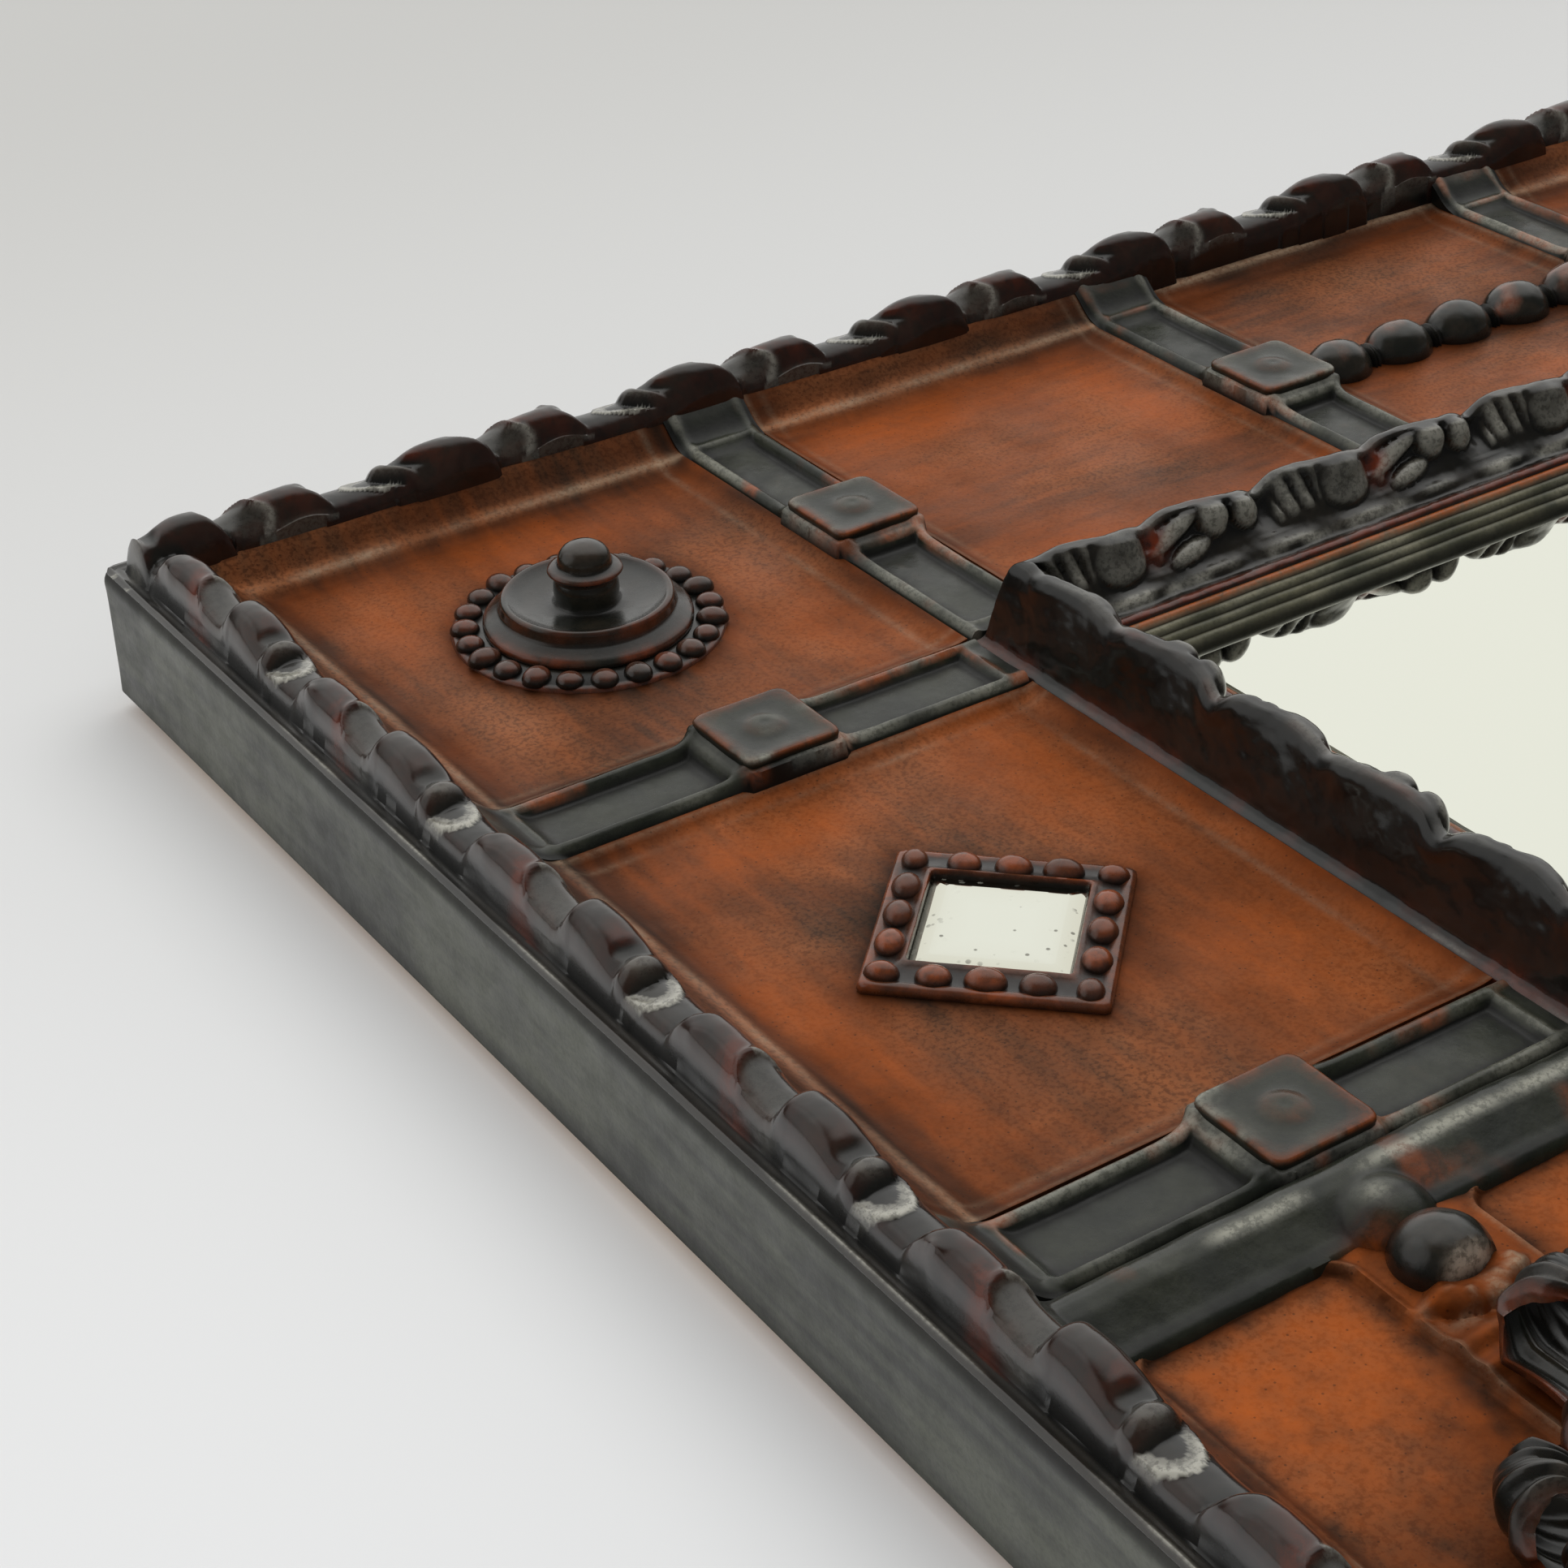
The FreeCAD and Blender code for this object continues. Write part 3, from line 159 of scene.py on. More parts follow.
# Placing and meshing.
def on_side(side, s, d, n):
    """Points of a side as metres in the frame."""
    x, z = {"bottom": (-HALF_WIDTH + s, -HALF_HEIGHT + d), "right": (HALF_WIDTH - d, -HALF_HEIGHT + s),
            "top": (HALF_WIDTH - s, HALF_HEIGHT - d), "left": (-HALF_WIDTH + d, HALF_HEIGHT - s)}[side]
    return np.stack([x, -n, z], axis=-1) / MM


def steps(low, high, fine, coarse, zone):
    """Positions from low to high, closer together inside the zone."""
    if zone is None or zone[1] <= low or zone[0] >= high:
        cuts = [(low, high, coarse)]
    else:
        a, b = max(low, zone[0]), min(high, zone[1])
        cuts = [(low, a, coarse), (a, b, fine), (b, high, coarse)]
    out = [np.array([low])]
    for start, stop, step in cuts:
        if stop - start > 1e-6:
            count = max(1, int(round((stop - start) / step)))
            out.append(np.linspace(start, stop, count + 1)[1:])
    return np.concatenate(out)


def make_object(name, points, quads, paint, smooth_angle, polys):
    """Mesh from points (metres), four-cornered faces, larger faces and a four-channel paint."""
    keys = np.round(points * 2e5).astype(np.int64)
    _, first, back = np.unique(keys, axis=0, return_index=True, return_inverse=True)
    back = back.ravel()
    points, paint, quads = points[first], paint[first], back[quads]
    same = [quads[:, k] == quads[:, (k + 1) % 4] for k in range(4)]
    doubles = sum(s.astype(int) for s in same)
    crossed = (quads[:, 0] == quads[:, 2]) | (quads[:, 1] == quads[:, 3])
    whole = quads[(doubles == 0) & ~crossed]
    three = []
    for k in range(4):
        chosen = quads[(doubles == 1) & same[k] & ~crossed]
        three.append(chosen[:, [i for i in range(4) if i != k]])
    three = np.concatenate(three)
    large = []
    for poly in polys:
        poly = back[poly]
        large.append(poly[poly != np.roll(poly, 1)])
    loops = np.concatenate([whole.ravel(), three.ravel()] + large)
    used, corners = np.unique(loops, return_inverse=True)
    points, paint, corners = points[used], paint[used], corners.ravel()
    mesh = bpy.data.meshes.new(name)
    mesh.vertices.add(len(points))
    mesh.vertices.foreach_set("co", points.astype(np.float32).ravel())
    mesh.loops.add(len(corners))
    mesh.loops.foreach_set("vertex_index", corners.astype(np.int32))
    sizes = np.concatenate([np.full(len(whole), 4), np.full(len(three), 3), [len(p) for p in large]])
    sizes = sizes.astype(np.int32)
    mesh.polygons.add(len(sizes))
    starts = np.concatenate([[0], np.cumsum(sizes)[:-1]])
    mesh.polygons.foreach_set("loop_start", starts.astype(np.int32))
    mesh.polygons.foreach_set("loop_total", sizes)
    mesh.update(calc_edges=True)
    mesh.validate()
    mesh.polygons.foreach_set("use_smooth", np.ones(len(mesh.polygons), bool))
    mesh.set_sharp_from_angle(angle=math.radians(smooth_angle))
    layer = mesh.attributes.new("paint", "FLOAT_COLOR", "POINT")
    layer.data.foreach_set("color", np.clip(paint, 0, 1).astype(np.float32).ravel())
    obj = bpy.data.objects.new(name, mesh)
    bpy.context.scene.collection.objects.link(obj)
    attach(obj, "frame")
    return obj


def grid_faces(rows, columns, start=0):
    j, i = np.meshgrid(np.arange(rows - 1), np.arange(columns - 1), indexing="ij")
    a = (j * columns + i).ravel() + start
    return np.stack([a, a + 1, a + 1 + columns, a + columns], axis=1)


def rim_of(rows, columns):
    """Numbers of a grid's points, once round its rim."""
    top = np.arange(rows * columns).reshape(rows, columns)
    return np.concatenate([top[0, :], top[1:, -1], top[-1, -2::-1], top[-2:0:-1, 0]])


def shell(rows, columns):
    """Faces of two grids, the second behind the first, closed round their rims."""
    count = rows * columns
    rim = rim_of(rows, columns)
    after = np.roll(rim, -1)
    walls = np.stack([rim, rim + count, after + count, after], axis=1)
    return np.concatenate([grid_faces(rows, columns), grid_faces(rows, columns, count)[:, ::-1], walls])


def slab(side, along, across, height, paint, floor=BOARD):
    """Points, faces, paint and flat back of a height field on one side, closed down to the floor."""
    rows, columns = along.shape
    rim = rim_of(rows, columns)
    top = on_side(side, along, across, height).reshape(-1, 3)
    low = on_side(side, along, across, np.full(along.shape, floor)).reshape(-1, 3)
    colour = paint.reshape(-1, 4)
    under = np.arange(len(rim)) + rows * columns
    walls = np.stack([rim, under, np.roll(under, -1), np.roll(rim, -1)], axis=1)
    return (np.concatenate([top, low[rim]]), np.concatenate([grid_faces(rows, columns), walls]),
            np.concatenate([colour, colour[rim]]), [under[::-1]])


def piece(name, shapes, slot, node, smooth_angle=50.0):
    """Object in place of a node, from shapes of points, faces and paint, some with larger faces."""
    points, quads, colours, large, count = [], [], [], [], 0
    for p, q, c, *polys in shapes:
        points.append(p)
        quads.append(q + count)
        colours.append(c)
        large += [poly + count for group in polys for poly in group]
        count += len(p)
    obj = make_object(name, np.concatenate(points), np.concatenate(quads), np.concatenate(colours),
                      smooth_angle, large)
    obj.data.materials.append(MATERIALS[slot])
    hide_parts(node)


def channels(grime_and_shade, wear, mark, shade):
    """Paint of four channels; single numbers fill their channel."""
    return np.stack(np.broadcast_arrays(grime_and_shade, wear, mark, shade), axis=-1)


def edge_paint(height, cells, hollow, ridge):
    """Dirt and painted shade in the hollows, and wear on the ridges, of a height field."""
    curve = blur(height, cells) - height
    return np.clip(curve / hollow, 0, 1), np.clip(-curve / ridge, 0, 1)


# Materials.
def srgb(r, g, b):
    """Linear colour from 0-255 display values."""
    values = [c / 255.0 for c in (r, g, b)]
    return tuple(c / 12.92 if c <= 0.04045 else ((c + 0.055) / 1.055) ** 2.4 for c in values) + (1.0,)


class Nodes:
    """Short ways to add and join the shader nodes of a material or world."""

    def __init__(self, owner, kind="Material", place="Object"):
        self.owner = owner
        owner.use_nodes = True
        self.tree = owner.node_tree
        self.tree.nodes.clear()
        self.out = self.add("Output" + kind).inputs["Surface"]
        self.coords = self.add("TexCoord").outputs[place]

    def add(self, kind, inputs=None, **settings):
        """New node with its settings made and its inputs linked or set; None leaves an input alone."""
        node = self.tree.nodes.new("ShaderNode" + kind)
        for key, value in settings.items():
            setattr(node, key, value)
        for key, value in (inputs or {}).items():
            if isinstance(value, bpy.types.NodeSocket):
                self.tree.links.new(value, node.inputs[key])
            elif value is not None:
                node.inputs[key].default_value = value
        return node

    def finish(self, shader):
        self.tree.links.new(shader.outputs[0], self.out)
        return self.owner

    def math(self, kind, a, b, c=0.0, clamp=False):
        return self.add("Math", {0: a, 1: b, 2: c}, operation=kind, use_clamp=clamp).outputs[0]

    def mix(self, factor, a, b):
        return self.add("Mix", {0: factor, 6: a, 7: b}, data_type="RGBA").outputs[2]

    def scaled(self, scale):
        return self.add("Mapping", {"Vector": self.coords, "Scale": scale}).outputs[0]

    def noise(self, scale, detail, rough, distortion=0.0, vector=None):
        return self.add("TexNoise", {"Vector": self.coords if vector is None else vector,
                                     "Scale": scale, "Detail": detail, "Roughness": rough,
                                     "Distortion": distortion}).outputs["Fac"]

    def spots(self, scale, size):
        """Small round spots, 1 inside."""
        cells = self.add("TexVoronoi", {"Vector": self.coords, "Scale": scale})
        return self.ramp(cells.outputs["Distance"], size, size * 0.55)

    def ramp(self, value, low, high):
        """0 at low to 1 at high, clamped; high may be the smaller."""
        ends = (low, high, 0.0, 1.0) if low <= high else (high, low, 1.0, 0.0)
        return self.spread(value, *ends)

    def spread(self, value, low, high, first, last):
        """first at low to last at high, clamped."""
        return self.add("MapRange", {"Value": value, "From Min": low, "From Max": high,
                                     "To Min": first, "To Max": last},
                        interpolation_type="SMOOTHSTEP").outputs[0]

    def paint(self):
        """Dirt with painted shade, wear, mark (pale marks and painted highlights) and shade of the mesh's
        own paint.
        """
        node = self.add("Attribute", attribute_name="paint")
        split = self.add("SeparateColor", {0: node.outputs["Color"]})
        return (*split.outputs, node.outputs["Alpha"])

    def bump(self, height, distance, strength, normal=None):
        return self.add("Bump", {"Distance": distance, "Strength": strength, "Height": height,
                                 "Normal": normal}).outputs[0]

    def surface(self, colour, roughness, normal, metallic=0.0, coat=0.0, specular=0.5):
        return self.finish(self.add("BsdfPrincipled", {
            "Base Color": colour, "Roughness": roughness, "Metallic": metallic, "Normal": normal,
            "Coat Weight": coat, "Coat Roughness": 0.18, "Specular IOR Level": specular}))


def patinated(name, tones, rough, coat, mottle, bump, streak=None, specks=0.0, metallic=0.0,
              mark_rough=0.3, specular=0.5, broken_edge=0.7, grain=0.22):
    """Aged metal. Its tones are two in clouds, one for dirt and painted shade in hollows, one on worn edges
    and one for pale marks and painted highlights.
    """
    m = Nodes(bpy.data.materials.new(name))
    base, second, dark, worn, mark = (srgb(*tone) for tone in tones)
    grime_and_shade, wear, marked, shade = m.paint()
    cloud = m.noise(mottle, 5.0, 0.6, 0.4)
    if streak:
        cloud = m.math("MULTIPLY_ADD", m.noise(1.0, 4.0, 0.6, 0.2, m.scaled(streak)), 0.6,
                       m.math("MULTIPLY", cloud, 0.4))
    tone = m.math("ADD", m.ramp(cloud, 0.34, 0.66), m.math("SUBTRACT", shade, 0.5), clamp=True)
    colour = m.mix(tone, base, second)
    fine = m.noise(900.0, 2.0, 0.6)
    colour = m.mix(m.math("MULTIPLY", m.ramp(fine, 0.42, 0.66), grain), colour, dark)
    broken = m.ramp(m.noise(260.0, 4.0, 0.65, 0.5), 0.30, 0.62)
    # The dark tone goes where the paint carries dirt or painted shade.
    colour = m.mix(m.math("MULTIPLY", grime_and_shade, 0.92), colour, dark)
    kept = m.math("MULTIPLY_ADD", broken, broken_edge, 1.0 - broken_edge)
    worn_mask = m.math("MULTIPLY", wear, kept, clamp=True)
    colour = m.mix(worn_mask, colour, worn)
    # The mark tone goes where the paint carries pale marks or painted highlights.
    speck = m.ramp(m.noise(700.0, 3.0, 0.75), 0.38, 0.56)
    mark_mask = m.math("MULTIPLY", marked, m.math("MULTIPLY_ADD", speck, 0.5, 0.5), clamp=True)
    colour = m.mix(mark_mask, colour, mark)
    if specks:
        colour = m.mix(m.math("MULTIPLY", m.spots(480.0, 0.15), specks), colour, dark)
    patch = m.ramp(m.noise(mottle * 2.2, 4.0, 0.6), 0.3, 0.7)
    roughness = m.math("MULTIPLY_ADD", patch, rough[1] - rough[0], rough[0])
    roughness = m.math("MULTIPLY_ADD", grime_and_shade, 0.15, roughness, clamp=True)
    roughness = m.math("MULTIPLY_ADD", mark_mask, mark_rough - 0.35, roughness, clamp=True)
    normal = m.bump(m.noise(150.0, 6.0, 0.6), bump * 3.0, 0.5)
    normal = m.bump(fine, bump, 0.5, normal)
    return m.surface(colour, roughness, normal, metallic, coat, specular)


def wood(name, along, light, dark_tone, fibre=False):
    m = Nodes(bpy.data.materials.new(name))
    stretch = {"x": (6.0, 120.0, 120.0), "z": (120.0, 120.0, 6.0)}[along]
    grain = m.noise(1.0, 5.0, 0.6, 1.2, m.scaled(stretch))
    pores = m.noise(1.0, 2.0, 0.5, 0.0, m.scaled(tuple(4 * v for v in stretch)))
    broad = m.noise(6.0, 3.0, 0.5)
    colour = m.mix(m.ramp(grain, 0.35, 0.65), light, dark_tone)
    colour = m.mix(m.math("MULTIPLY", m.ramp(pores, 0.5, 0.7), 0.5), colour, dark_tone)
    if fibre:
        specks = m.ramp(m.noise(800.0, 3.0, 0.7), 0.45, 0.65)
        colour = m.mix(m.math("MULTIPLY", specks, 0.5), light, dark_tone)
    colour = m.mix(m.math("MULTIPLY", m.ramp(broad, 0.4, 0.7), 0.35), colour, srgb(70, 52, 38))
    roughness = m.math("MULTIPLY_ADD", grain, 0.2, 0.65)
    normal = m.bump(grain, 0.0004, 0.6)
    return m.surface(colour, roughness, m.bump(pores, 0.0001, 0.6, normal))


def silvered(name, colour, spots=False):
    """Mirror plate, slightly wavy, with dark spots where its silvering has gone."""
    m = Nodes(bpy.data.materials.new(name))
    spot_mask = 0.0
    tone = colour
    if spots:
        grime_and_shade = m.paint()[0]
        many = m.math("MULTIPLY", m.spots(420.0, 0.3), m.ramp(m.noise(90.0, 3.0, 0.6), 0.42, 0.6))
        few = m.math("MULTIPLY", m.spots(230.0, 0.13), 0.9)
        spot_mask = m.math("MAXIMUM", m.math("MULTIPLY", many, grime_and_shade), m.math("MULTIPLY", few, 0.8),
                           clamp=True)
        tone = m.mix(m.math("MULTIPLY", grime_and_shade, 0.35), colour, srgb(190, 180, 150))
        tone = m.mix(spot_mask, tone, srgb(70, 62, 45))
    waves = m.bump(m.noise(14.0, 1.0, 0.4), 0.0006, 0.35)
    metallic = m.math("SUBTRACT", 1.0, m.math("MULTIPLY", spot_mask, 0.8)) if spots else 1.0
    roughness = m.math("MULTIPLY_ADD", spot_mask, 0.4, 0.015) if spots else 0.015
    haze = m.math("MULTIPLY_ADD", m.noise(60.0, 3.0, 0.6), 0.012, roughness)
    return m.surface(tone, haze, waves, metallic)


def plated(name):
    m = Nodes(bpy.data.materials.new(name))
    cloud = m.noise(220.0, 4.0, 0.6)
    colour = m.mix(m.ramp(cloud, 0.35, 0.7), srgb(205, 200, 190), srgb(150, 143, 130))
    brushed = m.noise(1.0, 3.0, 0.6, 0.0, m.scaled((2500.0, 300.0, 300.0)))
    roughness = m.math("MULTIPLY_ADD", brushed, 0.25, 0.22)
    return m.surface(colour, roughness, m.bump(brushed, 0.00004, 0.6), 1.0)


MATERIALS = {
    "copper_panel": patinated(
        "panel_patina", ((96, 62, 40), (160, 102, 64), (40, 28, 19), (184, 90, 24),
        (176, 152, 126)), rough=(0.36, 0.5), coat=0.0, mottle=19.0, specks=0.5, metallic=0.8,
        bump=0.0001, mark_rough=0.4, broken_edge=0.2, grain=0.62),
    "side_sheet": patinated(
        "side_patina", ((53, 54, 50), (85, 87, 76), (28, 26, 25), (108, 102, 90),
        (196, 194, 182)), rough=(0.36, 0.5), coat=0.0, mottle=60.0, streak=(16.0, 220.0, 16.0),
        bump=0.00008, mark_rough=0.3),
    "dark_moulding": patinated(
        "border_patina", ((19, 19, 16), (36, 32, 26), (7, 7, 6), (104, 38, 12),
        (176, 173, 160)), rough=(0.08, 0.17), coat=0.3, mottle=70.0, bump=0.00004, mark_rough=0.28,
        specular=0.6),
    "sight_tin": patinated(
        "sight_patina", ((58, 60, 46), (88, 86, 66), (20, 18, 14), (150, 74, 24),
        (150, 145, 122)), rough=(0.22, 0.36), coat=0.0, mottle=50.0, bump=0.00008, specular=0.45),
    "strap_tin": patinated(
        "strap_patina", ((27, 30, 23), (42, 44, 33), (9, 9, 7), (140, 66, 20),
        (170, 168, 152)), rough=(0.2, 0.36), coat=0.0, mottle=55.0, bump=0.00006, specular=0.5),
    "boss_metal": patinated(
        "boss_patina", ((27, 28, 23), (42, 37, 29), (9, 8, 7), (128, 56, 24),
        (176, 160, 142)), rough=(0.12, 0.26), coat=0.3, mottle=120.0, bump=0.00005, specular=0.6),
    "bezel_metal": patinated(
        "bezel_patina", ((40, 27, 20), (76, 44, 27), (12, 9, 7), (146, 70, 30),
        (176, 128, 92)), rough=(0.14, 0.3), coat=0.3, mottle=160.0, bump=0.00007, specular=0.6),
    "small_mirror": silvered("small_mirror_silvering", srgb(236, 238, 226), True),
    "mirror": silvered("mirror_silvering", srgb(240, 242, 230)),
    "hardware_steel": plated("plated_steel"),
    "wood_x": wood("pine_along_x", "x", srgb(196, 158, 112), srgb(146, 106, 68)),
    "wood_z": wood("pine_along_z", "z", srgb(196, 158, 112), srgb(146, 106, 68)),
    "backing": wood("hardboard", "z", srgb(126, 92, 62), srgb(92, 64, 42), True),
}


# Nodes that are kept as solids and get a material.
KEPT = {
    "wood_x": ("board_bottom", "board_top"),
    "wood_z": ("board_left", "board_right"),
    "backing": ("backing_board",),
    "mirror": ("mirror_glass",),
    "hardware_steel": ("backing_brads", "hanger_plate_left", "hanger_plate_right", "hanger_ring_left",
                       "hanger_ring_right", "hanger_screws"),
}
for material, nodes in KEPT.items():
    for node in nodes:
        NODES[node].data.materials.clear()
        NODES[node].data.materials.append(MATERIALS[material])


# Side skin.
def bend_corner(u, d, length):
    """Place of a point at inset d, following the rounded corner near both ends."""
    def near(u, d):
        turn = (CORNER_ROUND - np.minimum(u, CORNER_ROUND)) / CORNER_ROUND * math.pi / 4
        reach = np.maximum(CORNER_ROUND - d, 0.0)
        s = np.where(u < CORNER_ROUND, CORNER_ROUND - reach * np.sin(turn), u)
        across = np.where((u < CORNER_ROUND) & (d < CORNER_ROUND), CORNER_ROUND - reach * np.cos(turn), d)
        return np.maximum(s, np.where(d >= CORNER_ROUND, d, 0.0)), across
    first = u < length / 2
    s, across = near(np.where(first, u, length - u), d)
    return np.where(first, s, length - s), across


def corner_steps(length, fine, coarse, zone):
    """Positions along a side with its rounded corners divided finely."""
    bend = np.linspace(0, CORNER_ROUND, 10)
    middle = steps(CORNER_ROUND, length - CORNER_ROUND, fine, coarse, zone)
    return np.concatenate([bend[:-1], middle, length - bend[:-1][::-1]])


def side_skin(side):
    """Rolled sheet: a wall, a rounded outer edge and a narrow ledge."""
    length = LENGTHS[side]
    s = corner_steps(length, 2.0, 5.0, FINE[side])
    profile = [(0.0, 0.0), (0.0, 2.0), (0.0, 6.0), (0.0, 12.0), (0.0, 18.0), (0.0, 24.0), (0.0, 27.5),
               (0.0, 29.0), (0.0, 29.8), (0.15, 30.6), (0.5, 31.4), (1.0, 32.0), (1.6, 32.35), (2.2, 32.5),
               (2.7, 32.5), (3.0, 32.4), (3.0, 31.4)]
    d, n = (np.array(v)[:, None] for v in zip(*profile))
    u, d, n = np.broadcast_arrays(s[None, :], d, n)
    dent = 0.12 * noise(u, n, 30.0, 3) + 0.04 * noise(u, n * 2, 8.0, 5)
    inset = d + (dent + 0.16) * smooth(29.5, 26.0, n) * smooth(0.0, 5.0, n)
    outer = on_side(side, *bend_corner(u, inset, length), n)
    inner = on_side(side, *bend_corner(u, np.ones(u.shape), length), np.minimum(n, 31.4))
    tone = np.clip(noise(u, n, 45.0, 11, 2) * 2.0, 0, 1)
    # Pale broken line along the top of the rolled edge: a painted highlight.
    line = bell(inset, 2.3, 0.5) * (n > 32) * smooth(-0.1, 0.5, noise(u, n, 26.0, 21, 3))
    # Darker band along the bend of the rolled edge, and painted shade along the foot of the wall where it
    # meets the surface the frame lies on.
    bend_dark_band = 0.85 * bell(n - inset, 30.9, 0.9)
    foot_shade = 0.5 * smooth(6.0, 0.0, n)
    paint = channels(np.clip(foot_shade + bend_dark_band, 0, 1), 0.0, np.clip(line, 0, 1), 0.35 + 0.5 * tone)
    points = np.concatenate([outer.reshape(-1, 3), inner.reshape(-1, 3)])
    colour = np.concatenate([paint.reshape(-1, 4)] * 2)
    piece("side_sheet_" + side, [(points, shell(*u.shape), colour)], "side_sheet",
          "side_skin_" + side, 60.0)


# Border moulding.
# Distance between the loaves on the wide and tall sides, and from a side's end back to its last loaf.
PITCH = {"bottom": 73.0, "right": 77.0, "top": 73.0, "left": 77.0}
LAST_LOAF = {"bottom": 29.4, "right": 27.5, "top": 29.4, "left": 27.5}
# The lobes of the tall sides stand a little further on: (place, distance).
HAND_SET = ((20.0, 6.0), (52.0, 7.0), (96.0, 3.0), (130.0, 2.0), (210.0, 5.0), (290.0, 3.0),
            (366.0, 1.0), (440.0, 0.0))
# On the short sides the lobes' seams lean: their tops stand this much further on than their feet.
SEAM_SLANT = 6.5
# Level the lobes stand on, the inset of their axis, and the length of one loaf with its ribbon.
LOBE_BASE, LOBE_AXIS, LOBE_BEAT = 33.3, 12.2, 77.0
# Heights over the base along a loaf and along a ribbon from their starts.
LOAF_LINE = ((0, 11.2), (5, 11.9), (9, 12.1), (13, 11.8), (16, 11.0), (19, 9.8), (21.5, 8.8),
             (24, 8.2), (29, 7.3), (32, 6.3), (38, 5.4), (42, 4.0))
RIBBON_LINE = ((0, 10.0), (5, 10.8), (10, 11.1), (15, 10.9), (21, 10.3), (27, 9.6), (33, 9.0),
               (42, 8.6))
# Height of the sheet over the panels' base, at distances from the outer edge, where it climbs from
# a narrow lip to the lobes; on the bead panels it climbs further out.
CLIMB = ((13.0, 12.0), (15.0, 11.0), (17.0, 9.9), (19.0, 8.5), (21.0, 6.7), (23.0, 4.9), (25.0, 3.7),
         (26.2, 3.2), (27.4, 3.1), (28.4, 2.5), (30.0, 1.3), (32.0, 0.7), (36.0, 0.35), (44.0, 0.0))
DEEP_CLIMB = ((12.0, 12.6), (13.5, 11.0), (14.5, 9.3), (16.0, 6.6), (17.2, 4.4), (18.2, 3.6),
              (19.6, 3.5), (21.0, 2.6), (22.6, 1.4), (25.0, 0.7), (30.0, 0.3), (38.0, 0.0))


def half_round(x, power):
    """1 in the middle of -1 to 1, falling to 0 at its ends in a full curve."""
    return np.sqrt(np.clip(1 - np.abs(x) ** power, 0, 1))


def blunt_start(x, reach, power):
    """0 before a lobe's rounded end, full height from reach on."""
    return half_round(1 - np.clip(x / reach, 0, 1), power) * (x > 0)


def line_height(x, line, soften=0.6):
    """Height along a line of (place, height) points, with its bends rounded."""
    places, heights = zip(*line)
    return sum(np.interp(x + soften * k, places, heights) for k in (-2, -1, 0, 1, 2)) / 5


def bowl(x, y):
    """1 at the middle of the unit circle, falling to 0 at its rim in a round curve."""
    return np.clip(1 - x ** 2 - y ** 2, 0, 1) ** 0.5


HOLLOW_PLACE, HOLLOW_ASIDE, HOLLOW_TILT = 74.2, -1.0, math.radians(7.0)


def ribbon(p, k):
    """Lower lobe with a thumbnail-shaped hollow pressed into its far end."""
    x = p - 44.6 - 0.5 * k
    body = half_round((k + 0.9 + 0.3 * smooth(8, 34, x)) / (6.0 + 0.2 * smooth(10, 34, x)), 2.3)
    height = line_height(x, RIBBON_LINE) * blunt_start(x, 6.0, 2.0) * body
    c, s = math.cos(HOLLOW_TILT), math.sin(HOLLOW_TILT)
    along = (p - HOLLOW_PLACE) * c - (k - HOLLOW_ASIDE) * s
    across = (p - HOLLOW_PLACE) * s + (k - HOLLOW_ASIDE) * c
    reach = (np.abs(along / 10.2) ** 2.4 + np.abs(across / 5.7) ** 2.4) ** (1 / 2.4)
    rim = bell(reach, 1.04, 0.09)
    height = height + (height > 3.0) * (0.5 * rim - 2.3 * np.clip(1 - reach ** 2, 0, 1) ** 0.7)
    return height, reach, rim, along, across


